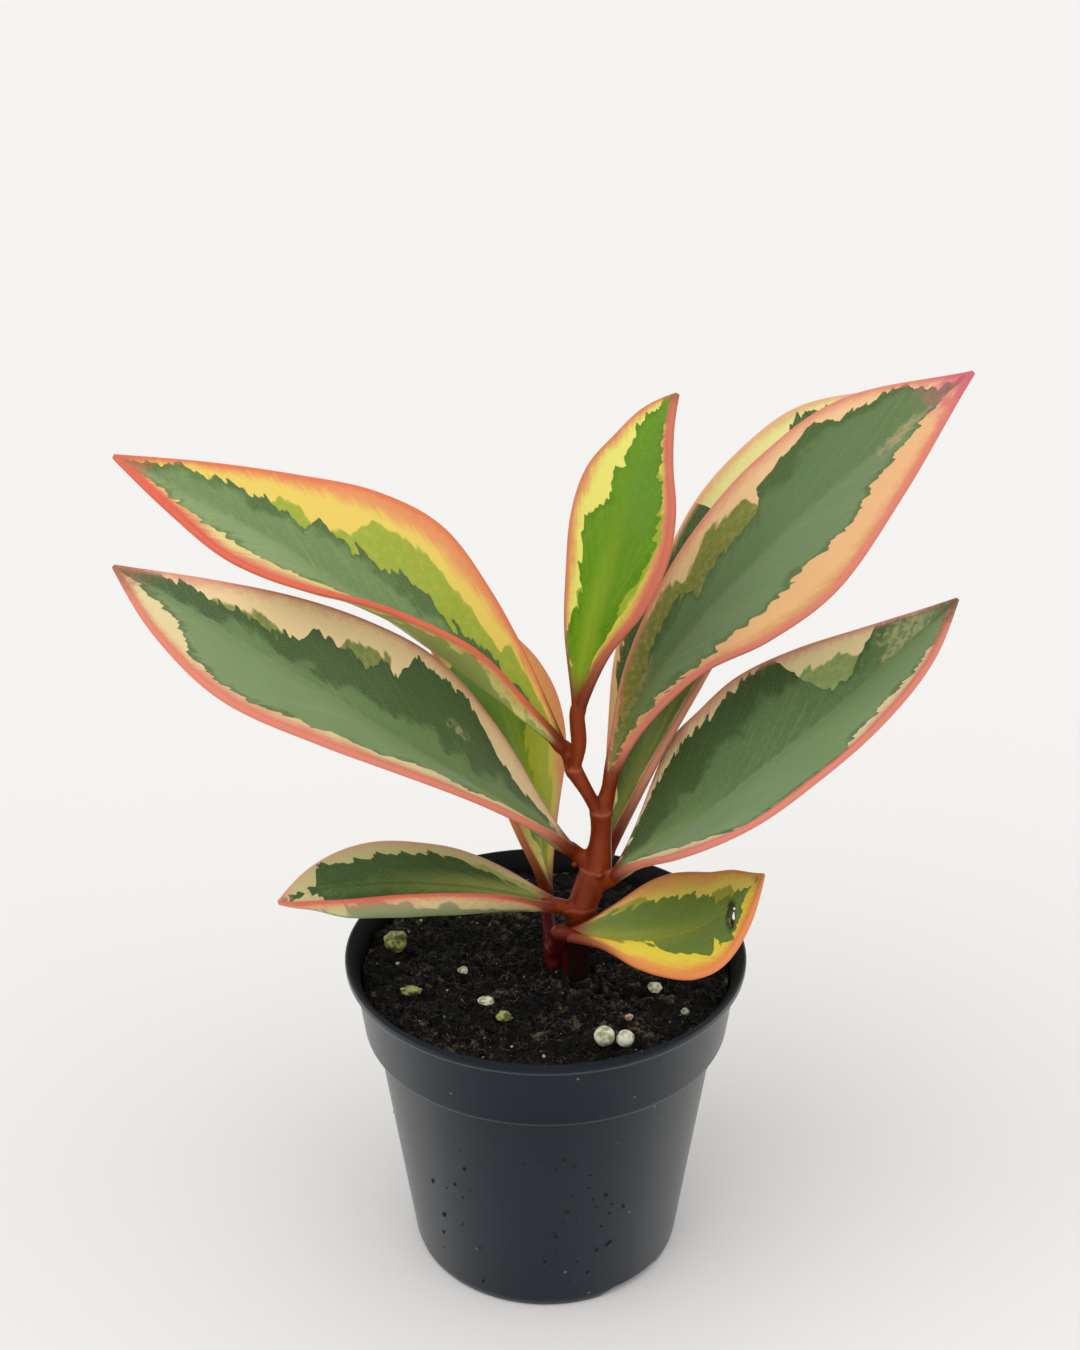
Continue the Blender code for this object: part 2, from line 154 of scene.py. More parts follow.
# The pot: a thin injection-moulded nursery pot in black recycled plastic, with a rolled lip, a
# collar that the pots stack on, and a foot ring cut into three low feet.
POT_HEIGHT = 78.0
LIP_RADIUS = 45.0
LIP_INNER = 43.0
LIP_LOW = 75.6
COLLAR_TOP_RADIUS = 43.0
COLLAR_FOOT_RADIUS = 41.3
COLLAR_FOOT_Z = 60.0
BODY_TOP_RADIUS = 38.8
BODY_FOOT_RADIUS = 31.6
BASE_RADIUS = 30.8
WALL = 1.1
FLOOR_UNDERSIDE = 3.0
FLOOR_TOP = 4.2
BOSS_RADIUS = 5.0
DRAIN_COUNT = 6
DRAIN_RADIUS = 3.0
DRAIN_CIRCLE = 19.0
ARCH_HEIGHT = 2.2
ARCH_START_DEG = 24.0
ARCH_SPAN_DEG = 34.0
ARCH_SLOPE_DEG = 6.0
FOOT_COUNT = 3
POT_SEGMENTS = 180


def rounded(corners, steps=4):
    """A profile whose corners (radius, z, rounding) are replaced by short curves."""
    path = []
    for k, (radius, z, cut) in enumerate(corners):
        here = np.array([radius, z], float)
        if not cut or k in (0, len(corners) - 1):
            path.append(tuple(here))
            continue
        before = np.array(corners[k - 1][:2], float)
        after = np.array(corners[k + 1][:2], float)
        start = here + (before - here) * min(0.45, cut / np.linalg.norm(before - here))
        end = here + (after - here) * min(0.45, cut / np.linalg.norm(after - here))
        for t in np.linspace(0, 1, steps + 1):
            path.append(tuple((1 - t)**2 * start + 2 * t * (1 - t) * here + t**2 * end))
    return path


def arch_lift(angle):
    """How far the foot ring's edge is raised at an angle round the pot, 0 under a foot."""
    turn = math.degrees(angle) + 90 - ARCH_START_DEG
    within = turn % (360 / FOOT_COUNT)
    if within > ARCH_SPAN_DEG:
        return 0.0
    edge = min(within, ARCH_SPAN_DEG - within) / ARCH_SLOPE_DEG
    return ARCH_HEIGHT * min(1.0, edge)**0.6


def turned(profile, segments, change=None):
    """Points and faces of a turned shape whose profile of (radius, z) starts and ends on the axis."""
    points = []
    for radius, z in profile[1:-1]:
        for k in range(segments):
            angle = 2 * math.pi * k / segments
            lifted = change(radius, z, angle) if change else z
            points.append((radius * math.cos(angle), radius * math.sin(angle), lifted))
    faces = []
    rings = len(profile) - 2
    for ring in range(rings - 1):
        for k in range(segments):
            after = (k + 1) % segments
            faces.append((ring * segments + k, ring * segments + after,
                          (ring + 1) * segments + after, (ring + 1) * segments + k))
    first = len(points)
    points += [(0, 0, profile[0][1]), (0, 0, profile[-1][1])]
    for k in range(segments):
        after = (k + 1) % segments
        faces.append((first, after, k))
        faces.append((first + 1, (rings - 1) * segments + k, (rings - 1) * segments + after))
    return points, faces


def drilled(piece, drills):
    """Cuts the drills out of a piece and takes them away."""
    for drill in drills:
        cut = piece.modifiers.new("cut", "BOOLEAN")
        cut.object = drill
    whole = piece.evaluated_get(bpy.context.evaluated_depsgraph_get())
    cut_mesh = bpy.data.meshes.new_from_object(whole)
    piece.modifiers.clear()
    piece.data = cut_mesh
    for drill in drills:
        bpy.data.objects.remove(drill)


pot_profile = rounded([
    (0, 0, 0), (BOSS_RADIUS, 0, 0.4), (BOSS_RADIUS + 1, FLOOR_UNDERSIDE, 0.4),
    (BASE_RADIUS - WALL, FLOOR_UNDERSIDE, 0.4), (BASE_RADIUS - WALL, 0, 0.2),
    (BASE_RADIUS, 0, 0.5), (BODY_FOOT_RADIUS - 0.1, 1.6, 1.2),
    (BODY_TOP_RADIUS, COLLAR_FOOT_Z - 0.6, 0.5), (COLLAR_FOOT_RADIUS - 0.3, COLLAR_FOOT_Z - 0.3, 0.4),
    (COLLAR_FOOT_RADIUS, COLLAR_FOOT_Z + 0.3, 0.5), (COLLAR_TOP_RADIUS, LIP_LOW - 0.8, 0.8),
    (LIP_RADIUS - 0.1, LIP_LOW, 0.9), (LIP_RADIUS, POT_HEIGHT, 0.8),
    (LIP_RADIUS - 0.9, POT_HEIGHT, 0.3), (LIP_INNER, POT_HEIGHT - 1.2, 0.5),
    (COLLAR_TOP_RADIUS - WALL, LIP_LOW - 0.8, 0.8),
    (COLLAR_FOOT_RADIUS - WALL, COLLAR_FOOT_Z + 0.8, 0.5),
    (BODY_TOP_RADIUS - WALL, COLLAR_FOOT_Z - 0.9, 0.5),
    (BODY_FOOT_RADIUS - WALL - 0.2, FLOOR_TOP + 1, 0.6),
    (BODY_FOOT_RADIUS - WALL - 1.2, FLOOR_TOP, 0.5), (0, FLOOR_TOP, 0)])


def foot_edge(radius, z, angle):
    """Raises the lower edge of the foot ring between the feet."""
    if radius > BASE_RADIUS - WALL - 0.5 and z < FLOOR_UNDERSIDE - 0.5:
        return max(z, arch_lift(angle))
    return z


def speckle_group():
    """Scattered small specks: scale, share of cells that hold one, and size in cells."""
    group = bpy.data.node_groups.new("specks", "ShaderNodeTree")
    for name, value in (("Scale", 500.0), ("Share", 0.1), ("Size", 0.2)):
        socket = group.interface.new_socket(name, in_out="INPUT", socket_type="NodeSocketFloat")
        socket.default_value = value
    group.interface.new_socket("Mask", in_out="OUTPUT", socket_type="NodeSocketFloat")
    given = group.nodes.new("NodeGroupInput")
    put_out = group.nodes.new("NodeGroupOutput")
    place = place_node(group, "TexCoord").outputs["Object"]
    cells = place_node(group, "TexVoronoi", {"Vector": place, "Scale": given.outputs["Scale"]})
    pick = place_node(group, "SeparateColor", {"Color": cells.outputs["Color"]})
    held = place_node(group, "Math", {0: pick.outputs["Red"], 1: given.outputs["Share"]},
                      operation="LESS_THAN")
    reach = place_node(group, "Math", {0: pick.outputs["Green"], 1: given.outputs["Size"]},
                       operation="MULTIPLY")
    near = place_node(group, "Math", {0: cells.outputs["Distance"], 1: reach.outputs[0]},
                      operation="LESS_THAN")
    both = place_node(group, "Math", {0: held.outputs[0], 1: near.outputs[0]},
                      operation="MULTIPLY")
    group.links.new(both.outputs[0], put_out.inputs["Mask"])
    return group


specks = speckle_group()


def add_specks(tree, scale, share, size):
    """Places the specks group in a material and gives its mask."""
    made = tree.nodes.new("ShaderNodeGroup")
    made.node_tree = specks
    for name, value in (("Scale", scale), ("Share", share), ("Size", size)):
        made.inputs[name].default_value = value
    return made.outputs["Mask"]


plastic, tree, shader = new_material("pot_plastic", 0.32, 0.16)
shader.inputs["Coat Roughness"].default_value = 0.3
sheen = place_node(tree, "LayerWeight", {"Blend": 0.5})
edge_gloss = place_node(tree, "MapRange", {"Value": sheen.outputs["Facing"], "From Min": 0.28,
                                           "From Max": 0.6, "To Min": 0.0, "To Max": 0.6})
tree.links.new(edge_gloss.outputs["Result"], shader.inputs["Coat Weight"])
place = place_node(tree, "TexCoord").outputs["Object"]
cloudy = place_node(tree, "TexNoise", {"Vector": place, "Scale": 45.0, "Detail": 5.0})
tint = place_node(tree, "ValToRGB", {"Fac": cloudy.outputs["Fac"]})
tint.color_ramp.elements[0].color = linear("#0b1620")
tint.color_ramp.elements[1].color = linear("#121f2a")
tint.color_ramp.elements[0].position = 0.3
tint.color_ramp.elements[1].position = 0.75
dusty = blend(tree, add_specks(tree, 900.0, 0.006, 0.5), tint.outputs["Color"], linear("#5c6062"))
marked = blend(tree, add_specks(tree, 300.0, 0.02, 0.35), dusty, linear("#080a0c"))
tree.links.new(marked, shader.inputs["Base Color"])
rough = place_node(tree, "MapRange", {"Value": cloudy.outputs["Fac"], "To Min": 0.34,
                                      "To Max": 0.5})
tree.links.new(rough.outputs["Result"], shader.inputs["Roughness"])
grain = place_node(tree, "TexNoise", {"Vector": place, "Scale": 900.0, "Detail": 3.0})
relief = place_node(tree, "Bump", {"Height": grain.outputs["Fac"], "Strength": 0.08,
                                   "Distance": 0.0002})
tree.links.new(relief.outputs["Normal"], shader.inputs["Normal"])

pot_points, pot_faces = turned(pot_profile, POT_SEGMENTS, foot_edge)
pot = add_piece("nursery_pot", pot_points, pot_faces, plastic)
drain_drills = []
for k in range(DRAIN_COUNT):
    angle = 2 * math.pi * (k + 0.5) / DRAIN_COUNT
    drill_points, drill_faces = turned([(0, 1), (DRAIN_RADIUS, 1), (DRAIN_RADIUS, 6), (0, 6)], 32)
    across = np.array([DRAIN_CIRCLE * math.cos(angle), DRAIN_CIRCLE * math.sin(angle), 0])
    drain_drills.append(add_piece("drill", np.array(drill_points) + across, drill_faces))
drilled(pot, drain_drills)
# Painted shade: the inner wall and the inner side of the lip get a darker, duller copy of the pot's
# plastic for the shade inside the pot, which also makes the lip look thinner.
shaded_inner_plastic, tree, shader = new_material("pot_inside_shaded", 0.6, 0.15)
shader.inputs["Base Color"].default_value = linear("#0d0f11")
pot.data.materials.append(shaded_inner_plastic)
# Faces that look inwards above the pot's floor take the shaded copy.
for face in pot.data.polygons:
    outward = face.normal.x * face.center.x + face.normal.y * face.center.y
    if outward < -0.003 and face.center.z > FLOOR_TOP * MM:
        face.material_index = 1
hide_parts("pot")
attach(pot, "root")

# Splashes: dark beads left on the pot's wall by watering, each a low dome stuck to the plastic, most
# of them in two patches on the front.
SPLASH_COUNT = 56
SPLASH_PATCHES_DEG = (-124.0, -76.0)
SPLASH_PATCH_MIDDLE = 31.0
SPLASH_PATCH_SPREAD = 12.0
SPLASH_SIZES = (0.18, 0.65)
SPLASH_SIDES = 10

damp, tree, shader = new_material("damp_mud", 0.2, 0.3)
shader.inputs["Base Color"].default_value = linear("#040608")
chance = np.random.default_rng(41)
wall_slope = (BODY_TOP_RADIUS - BODY_FOOT_RADIUS) / (COLLAR_FOOT_Z - 2)
splash_points, splash_faces = [], []
for k in range(SPLASH_COUNT):
    if k % 4:
        angle = math.radians(chance.normal(SPLASH_PATCHES_DEG[k % 2], 8))
        height = min(max(chance.normal(SPLASH_PATCH_MIDDLE, SPLASH_PATCH_SPREAD), 5), 57)
    else:
        angle, height = chance.uniform(-math.pi, math.pi), chance.uniform(5, 57)
    outward = np.array([math.cos(angle), math.sin(angle), 0])
    sideways = np.array([-math.sin(angle), math.cos(angle), 0])
    upward = np.array([0, 0, 1]) + wall_slope * outward
    half_wide = SPLASH_SIZES[0] + (SPLASH_SIZES[1] - SPLASH_SIZES[0]) * chance.random()**3
    half_high = half_wide * chance.uniform(0.9, 1.7)
    centre = outward * (BODY_FOOT_RADIUS + wall_slope * (height - 1)) + (0, 0, height)
    first = len(splash_points)
    for share, rise in ((1.0, -0.08), (0.8, 0.25), (0.45, 0.42)):
        for side in range(SPLASH_SIDES):
            turn = 2 * math.pi * side / SPLASH_SIDES
            splash_points.append(centre + outward * rise * half_wide
                                 + sideways * half_wide * share * math.cos(turn)
                                 + upward * half_high * share * math.sin(turn))
    splash_points.append(centre + outward * 0.48 * half_wide)
    for ring in range(2):
        for side in range(SPLASH_SIDES):
            low = first + ring * SPLASH_SIDES
            after = (side + 1) % SPLASH_SIDES
            splash_faces.append((low + side, low + after, low + SPLASH_SIDES + after,
                                 low + SPLASH_SIDES + side))
    top = first + 2 * SPLASH_SIDES
    splash_faces += [(top + side, top + (side + 1) % SPLASH_SIDES, top + SPLASH_SIDES)
                     for side in range(SPLASH_SIDES)]
    splash_faces.append(tuple(range(first + SPLASH_SIDES - 1, first - 1, -1)))
splashes = add_piece("pot_splashes", splash_points, splash_faces, damp)
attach(splashes, "root")

# The soil: loose dark peat pressed down by hand, uneven and fibrous, a few millimetres under the
# lip, with crumbs and root fibres lying on it.
SOIL_Z = 73.0
SOIL_ROUGHNESS = 1.3
SOIL_GRAIN = 9.0
SOIL_EDGE = 41.2
SOIL_RINGS = 130
SOIL_SEGMENTS = 380


def soil_height(x, y):
    """Uneven height of the soil's surface."""
    bump = noise.fractal(Vector((x / SOIL_GRAIN, y / SOIL_GRAIN, 3.0)), 0.6, 2.0, 3)
    return SOIL_Z + SOIL_ROUGHNESS * bump


def peat_height(x, y):
    """The same surface with its clods and crumbs."""
    clods = noise.fractal(Vector((x / 2.6, y / 2.6, 7.0)), 0.7, 2.1, 5)
    ridges = noise.ridged_multi_fractal(Vector((x / 1.6, y / 1.6, 1.0)), 0.8, 2.2, 4, 1.0, 2.0)
    return soil_height(x, y) + 0.9 * clods + 0.55 * (ridges - 1.2)


peat, tree, shader = new_material("peat", 0.55, 0.2)
place = place_node(tree, "TexCoord").outputs["Object"]
coarse = place_node(tree, "TexNoise", {"Vector": place, "Scale": 480.0, "Detail": 9.0,
                                       "Roughness": 0.75, "Distortion": 1.5})
matted = place_node(tree, "TexNoise", {"Vector": place, "Scale": 70.0, "Detail": 3.0})
# Painted shade: the peat's colour follows how far each point stands above the smooth soil, so its
# hollows are painted near-black and its raised clods lighter brown.
raised = place_node(tree, "Attribute", attribute_name="raised")
mixed = place_node(tree, "Math", {0: matted.outputs["Fac"], 1: raised.outputs["Fac"]},
                   operation="ADD")
weighed = place_node(tree, "Math", {0: mixed.outputs[0], 1: 0.55}, operation="MULTIPLY")
level = place_node(tree, "Math", {0: weighed.outputs[0], 1: coarse.outputs["Fac"]},
                   operation="ADD")
earth = place_node(tree, "ValToRGB", {"Fac": level.outputs[0]})
earth.color_ramp.elements[0].position = 0.74
earth.color_ramp.elements[0].color = linear("#050403")
earth.color_ramp.elements[1].position = 1.0
earth.color_ramp.elements[1].color = linear("#6b5c49")
middle = earth.color_ramp.elements.new(0.88)
middle.color = linear("#17120e")
tree.links.new(earth.outputs["Color"], shader.inputs["Base Color"])
fine = place_node(tree, "TexNoise", {"Vector": place, "Scale": 900.0, "Detail": 6.0})
relief = place_node(tree, "Bump", {"Height": fine.outputs["Fac"], "Strength": 1.0,
                                   "Distance": 0.002})
tree.links.new(relief.outputs["Normal"], shader.inputs["Normal"])

soil_points = []
for ring in range(SOIL_RINGS):
    radius = SOIL_EDGE * (1 - ring / SOIL_RINGS)
    for k in range(SOIL_SEGMENTS):
        angle = 2 * math.pi * k / SOIL_SEGMENTS
        x = radius * math.cos(angle)
        y = radius * math.sin(angle)
        soil_points.append((x, y, peat_height(x, y)))
soil_faces = []
for ring in range(SOIL_RINGS - 1):
    for k in range(SOIL_SEGMENTS):
        after = (k + 1) % SOIL_SEGMENTS
        soil_faces.append((ring * SOIL_SEGMENTS + k, ring * SOIL_SEGMENTS + after,
                           (ring + 1) * SOIL_SEGMENTS + after, (ring + 1) * SOIL_SEGMENTS + k))
centre = len(soil_points)
soil_points.append((0, 0, peat_height(0, 0)))
last_ring = (SOIL_RINGS - 1) * SOIL_SEGMENTS
for k in range(SOIL_SEGMENTS):
    soil_faces.append((centre, last_ring + k, last_ring + (k + 1) % SOIL_SEGMENTS))
under_profile = [(SOIL_EDGE, SOIL_Z - 2), (COLLAR_FOOT_RADIUS - WALL - 0.4, COLLAR_FOOT_Z + 1),
                 (BODY_TOP_RADIUS - WALL - 0.4, COLLAR_FOOT_Z - 1.2),
                 (BODY_FOOT_RADIUS - WALL - 1.5, FLOOR_TOP + 0.3)]
above_ring = 0
for radius, z in under_profile:
    ring_start = len(soil_points)
    for k in range(SOIL_SEGMENTS):
        angle = 2 * math.pi * k / SOIL_SEGMENTS
        soil_points.append((radius * math.cos(angle), radius * math.sin(angle), z))
    for k in range(SOIL_SEGMENTS):
        after = (k + 1) % SOIL_SEGMENTS
        soil_faces.append((ring_start + k, ring_start + after, above_ring + after, above_ring + k))
    above_ring = ring_start
soil_faces.append(tuple(above_ring + k for k in reversed(range(SOIL_SEGMENTS))))
soil = add_piece("peat_soil", soil_points, soil_faces, peat)
# The height that the peat's painted shade follows: how far each point stands above the soil's smooth
# surface.
raised = np.zeros(len(soil_points))
for k in range(centre + 1):
    x, y, z = soil_points[k]
    raised[k] = 0.35 * (z - soil_height(x, y))
soil.data.attributes.new("raised", "FLOAT", "POINT").data.foreach_set("value", raised)
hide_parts("soil")
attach(soil, "root")

# Peat crumbs and fibres: broken bits of root and stalk scattered over the surface.
CRUMBS = 1500
FIBRES = 700
draw = np.random.default_rng(7)


def lumpy_ball(detail, lumps, seed):
    """Points and faces of a ball of radius 1 with a lumpy skin."""
    work = bmesh.new()
    bmesh.ops.create_icosphere(work, subdivisions=detail, radius=1.0)
    points = np.array([v.co * (1 + lumps * noise.noise(v.co * 1.7 + Vector((seed, 0, 0))))
                       for v in work.verts])
    faces = [tuple(v.index for v in face.verts) for face in work.faces]
    work.free()
    return points, faces


def somewhere_on_soil(margin):
    """A random place on the soil, margin inside its edge."""
    radius = (SOIL_EDGE - margin) * math.sqrt(draw.random())
    angle = draw.random() * 2 * math.pi
    x = radius * math.cos(angle)
    y = radius * math.sin(angle)
    return np.array([x, y, peat_height(x, y)])


def random_turn():
    """A random rotation."""
    axis, _ = np.linalg.qr(draw.normal(size=(3, 3)))
    return axis


crumb_points, crumb_faces = [], []
for _ in range(CRUMBS):
    ball, ball_faces = lumpy_ball(1, 0.8, draw.random() * 50)
    size = 0.2 + 0.7 * draw.random()**3
    shape = np.array([1.0, 0.5 + 0.5 * draw.random(), 0.4 + 0.4 * draw.random()]) * size
    start = len(crumb_points)
    crumb_points += list((ball * shape) @ random_turn() + somewhere_on_soil(0.6))
    crumb_faces += [tuple(start + k for k in face) for face in ball_faces]
crumbs = add_piece("peat_crumbs", crumb_points, crumb_faces, peat)
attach(crumbs, "root")

fibre_skin, tree, shader = new_material("peat_fibre", 0.9, 0.2)
place = place_node(tree, "TexCoord").outputs["Object"]
patchy = place_node(tree, "TexNoise", {"Vector": place, "Scale": 180.0, "Detail": 2.0})
straw = place_node(tree, "ValToRGB", {"Fac": patchy.outputs["Fac"]})
straw.color_ramp.elements[0].position = 0.35
straw.color_ramp.elements[0].color = linear("#15100c")
straw.color_ramp.elements[1].position = 0.75
straw.color_ramp.elements[1].color = linear("#7a6b58")
tree.links.new(straw.outputs["Color"], shader.inputs["Base Color"])


def thread(path, radius, sides=4):
    """Points and faces of a thin closed thread along a path."""
    path = np.asarray(path, float)
    points = []
    for k, here in enumerate(path):
        forward = path[min(k + 1, len(path) - 1)] - path[max(k - 1, 0)]
        forward = forward / np.linalg.norm(forward)
        side = np.cross(forward, [0.3, 0.2, 1.0])
        side = side / np.linalg.norm(side)
        other = np.cross(forward, side)
        for s in range(sides):
            angle = 2 * math.pi * s / sides
            points.append(here + radius * (math.cos(angle) * side + math.sin(angle) * other))
    faces = []
    for k in range(len(path) - 1):
        for s in range(sides):
            after = (s + 1) % sides
            faces.append((k * sides + s, k * sides + after, (k + 1) * sides + after,
                          (k + 1) * sides + s))
    faces.append(tuple(reversed(range(sides))))
    faces.append(tuple((len(path) - 1) * sides + s for s in range(sides)))
    return points, faces


fibre_points, fibre_faces = [], []
for _ in range(FIBRES):
    here = somewhere_on_soil(2.5)
    heading = draw.random() * 2 * math.pi
    bend = draw.normal() * 0.35
    step = 0.4 + 0.5 * draw.random()
    path = []
    for _ in range(6):
        path.append((here[0], here[1], peat_height(here[0], here[1]) + 0.12))
        here = here + step * np.array([math.cos(heading), math.sin(heading), 0])
        heading += bend + draw.normal() * 0.25
    points, faces = thread(path, 0.035 + 0.05 * draw.random()**2)
    start = len(fibre_points)
    fibre_points += points
    fibre_faces += [tuple(start + k for k in face) for face in faces]
fibres = add_piece("peat_fibres", fibre_points, fibre_faces, fibre_skin)
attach(fibres, "root")

# Pale grit: specks of perlite dust and moss on the peat, most of them smaller than a millimetre.
GRIT = 160


def grit_piece(name, share, tone):
    """One loose scatter of grit in one tone."""
    grit_points, grit_faces = [], []
    for _ in range(round(GRIT * share)):
        ball, ball_faces = lumpy_ball(1, 0.8, draw.random() * 50)
        size = 0.1 + 0.35 * draw.random()**3
        start = len(grit_points)
        grit_points += list((ball * size) @ random_turn() + somewhere_on_soil(1.0))
        grit_faces += [tuple(start + k for k in face) for face in ball_faces]
    made, tree, shader = new_material(name, 0.7, 0.3)
    shader.inputs["Base Color"].default_value = linear(tone)
    grit = add_piece(name, grit_points, grit_faces, made)
    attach(grit, "root")


grit_piece("perlite_grit", 0.5, "#b9b6a4")
grit_piece("moss_grit", 0.3, "#77813c")
grit_piece("bark_grit", 0.2, "#7d5f3c")

# Grains: slow-release fertiliser beads and bits of perlite that lie on the peat.
GRAINS = {
    "grain_left": (2.7, 2.5, 2.3, "olive_grain"),
    "grain_left_front": (2.2, 1.2, 1.0, "olive_grain"),
    "grain_front": (1.6, 1.2, 0.9, "white_grain"),
    "grain_front_low": (1.5, 1.3, 1.2, "olive_grain"),
    "bead_front": (2.2, 2.2, 2.1, "white_grain"),
    "bead_front_right": (1.9, 1.9, 1.8, "white_grain"),
    "grain_pink": (0.9, 0.8, 0.7, "pink_grain"),
    "grain_right": (1.5, 1.3, 1.2, "white_grain"),
    "grain_clear": (0.9, 0.8, 0.7, "clear_grain"),
    "grain_back": (1.1, 0.9, 0.8, "white_grain"),
}
GRAIN_TONES = {"olive_grain": ("#a9a95f", "#4e5428"), "white_grain": ("#e9e6d2", "#9aa067"),
               "pink_grain": ("#d9b49c", "#8d6a55"), "clear_grain": ("#b9bdae", "#6c7063")}


def grain_material(name, light, dark):
    """Chalky grain with a mossy stain in patches."""
    made, tree, shader = new_material(name, 0.6)
    place = place_node(tree, "TexCoord").outputs["Object"]
    stain = place_node(tree, "TexNoise", {"Vector": place, "Scale": 700.0, "Detail": 4.0})
    tone = place_node(tree, "ValToRGB", {"Fac": stain.outputs["Fac"]})
    tone.color_ramp.elements[0].position = 0.4
    tone.color_ramp.elements[0].color = linear(dark)
    tone.color_ramp.elements[1].position = 0.55
    tone.color_ramp.elements[1].color = linear(light)
    tree.links.new(tone.outputs["Color"], shader.inputs["Base Color"])
    relief = place_node(tree, "Bump", {"Height": stain.outputs["Fac"], "Strength": 0.4,
                                       "Distance": 0.0003})
    tree.links.new(relief.outputs["Normal"], shader.inputs["Normal"])
    return made


grain_skins = {name: grain_material(name, *tones) for name, tones in GRAIN_TONES.items()}
for number, (name, (half_x, half_y, half_z, tone)) in enumerate(GRAINS.items()):
    ball, ball_faces = lumpy_ball(4, 0.06 if name.startswith("bead") else 0.3, number * 3.7)
    low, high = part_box(name)
    middle_point = [(a + b) / 2 / MM for a, b in zip(low, high)]
    grain = add_piece(name + "_detail", ball * (half_x, half_y, half_z) + middle_point,
                      ball_faces, grain_skins[tone])
    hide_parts(name)
    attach(grain, "root")

# The stem: one succulent red-brown trunk with a left branch and a side shoot, swollen at the nodes
# where leaves grew, and the petioles, all one growth.
# Each leaf: where its midrib starts, passes and ends; the widths of its left and right half, as seen
# from above looking to the tip, at each seventh of its length; and in degrees the roll at the base
# and the tip, the fold of each half at the base and the tip, and the curl of each half's margin.
LEAVES = {
    "leaf_upper_left": dict(
        base=(3, 5, 126), middle=(-38, 4, 160), tip=(-86, 7, 189),
        left=(4, 10, 13, 18, 15, 7), right=(11, 20, 26, 24, 17, 9),
        roll=(0, -10), fold=((70, -40), (40, 25)), curl=(30, 0)),
    "leaf_middle_left": dict(
        base=(5, -1, 104), middle=(-36, -16, 142), tip=(-85, -7, 171),
        left=(7, 12, 17, 21, 22, 13), right=(16, 22, 23, 20, 15, 8),
        roll=(0, -10), fold=((5, 5), (20, 20)), curl=(5, 30)),
    "leaf_lower_left": dict(
        base=(2, -5, 92), middle=(-30, -13, 102), tip=(-56, -19, 101),
        left=(8, 14, 17, 17, 15, 8), right=(7, 11, 12, 12, 10, 6),
        roll=(0, -5), fold=((-30, -40), (15, 15)), curl=(150, 5)),
    "leaf_top": dict(
        base=(7, 1, 137), middle=(16, 5, 178), tip=(26, 9, 201),
        left=(7, 11, 14, 14, 10, 6), right=(6, 14, 17, 15, 9, 4),
        roll=(5, 5), fold=((15, 5), (0, 0)), curl=(10, -10)),
    "leaf_upper_right": dict(
        base=(14, 3, 119), middle=(34, 8, 155), tip=(83, 6, 206),
        left=(3, 9, 15, 20, 22, 18), right=(3, 7, 12, 21, 24, 15),
        roll=(5, 20), fold=((15, 5), (0, 0)), curl=(10, -10)),
    "leaf_back_right": dict(
        base=(14, 7, 99), middle=(44, 30, 158), tip=(70, 50, 190),
        left=(11, 19, 18, 18, 15, 10), right=(7, 14, 18, 18, 15, 9),
        roll=(-5, 0), fold=((15, 15), (20, 20)), curl=(25, 30)),
    "leaf_lower_right": dict(
        base=(15, -3, 98), middle=(46, -9, 128), tip=(85, 6, 159),
        left=(16, 23, 23, 22, 17, 9), right=(9, 21, 26, 23, 19, 12),
        roll=(5, 0), fold=((15, 15), (10, 10)), curl=(25, 10)),
    "leaf_small_right": dict(
        base=(5, -11, 88), middle=(29, -17, 92), tip=(45, -21, 109),
        left=(8, 14, 16, 15, 12, 8), right=(2, 7, 11, 14, 14, 9),
        roll=(5, 5), fold=((15, 15), (-5, -5)), curl=(25, -20)),
    "leaf_back_left": dict(
        base=(0, 9, 88), middle=(-10, 19, 130), tip=(-28, 42, 144),
        left=(8, 12, 15, 15, 12, 7), right=(8, 15, 17, 16, 13, 8),
        roll=(5, 0), fold=((10, 10), (0, 0)), curl=(10, -15)),
}
STEMS = {
    "trunk": (((7, -3, 65), (7, -3, 78), (8, -3, 90), (11, -1, 99), (12, 0, 106), (12, 0, 113)),
              (3.0, 3.1, 3.3, 3.3, 2.4, 2.5)),
    "left_branch": (((12, 0, 111), (9, 0, 117), (6, 1, 122)), (1.6, 1.5, 1.9)),
    "side_shoot": (((2, 0, 65), (2, 1, 74), (1.5, 3, 79)), (2.2, 2.4, 2.1)),
}
PETIOLE_RADIUS = 1.7
PETIOLE_STRAIGHT = 2.5
PETIOLES = {
    "leaf_top": (((6, 1, 121), (7, 1, 128)), 1.2),
    "leaf_upper_left": (((6, 1, 121),), 1.7),
    "leaf_upper_right": (((12, 0, 111),), 2.3),
    "leaf_middle_left": (((11, -1, 98),), 2.2),
    "leaf_lower_right": (((10, -1, 95),), 2.2),
    "leaf_back_right": (((10, -1, 95),), 2.2),
    "leaf_lower_left": (((8, -3, 88),), 2.2),
    "leaf_back_left": (((1.5, 2, 77), (0.5, 6, 82)), 1.9),
    "leaf_small_right": (((2, 1, 76), (3, -4, 81)), 2.0),
}
NODES = ((8, -3, 90, 3.4), (11, -1, 98.5, 3.5), (12, 0, 112, 2.7), (6, 1, 122, 2.1), (2, 1.5, 77, 2.5))
BUDS = ((11.6, -4.4, 99.2, 0.9), (6.2, -3.8, 101.5, 0.7), (4.3, -0.4, 123.5, 0.6))
STEM_VOXEL = 0.4


def unit(vectors):
    return vectors / np.linalg.norm(vectors, axis=-1, keepdims=True)


def midrib_control(leaf):
    """The point that pulls the midrib so that it passes through the leaf's middle point."""
    base, middle_point, tip = (np.array(leaf[key], float) for key in ("base", "middle", "tip"))
    return 2 * middle_point - (base + tip) / 2


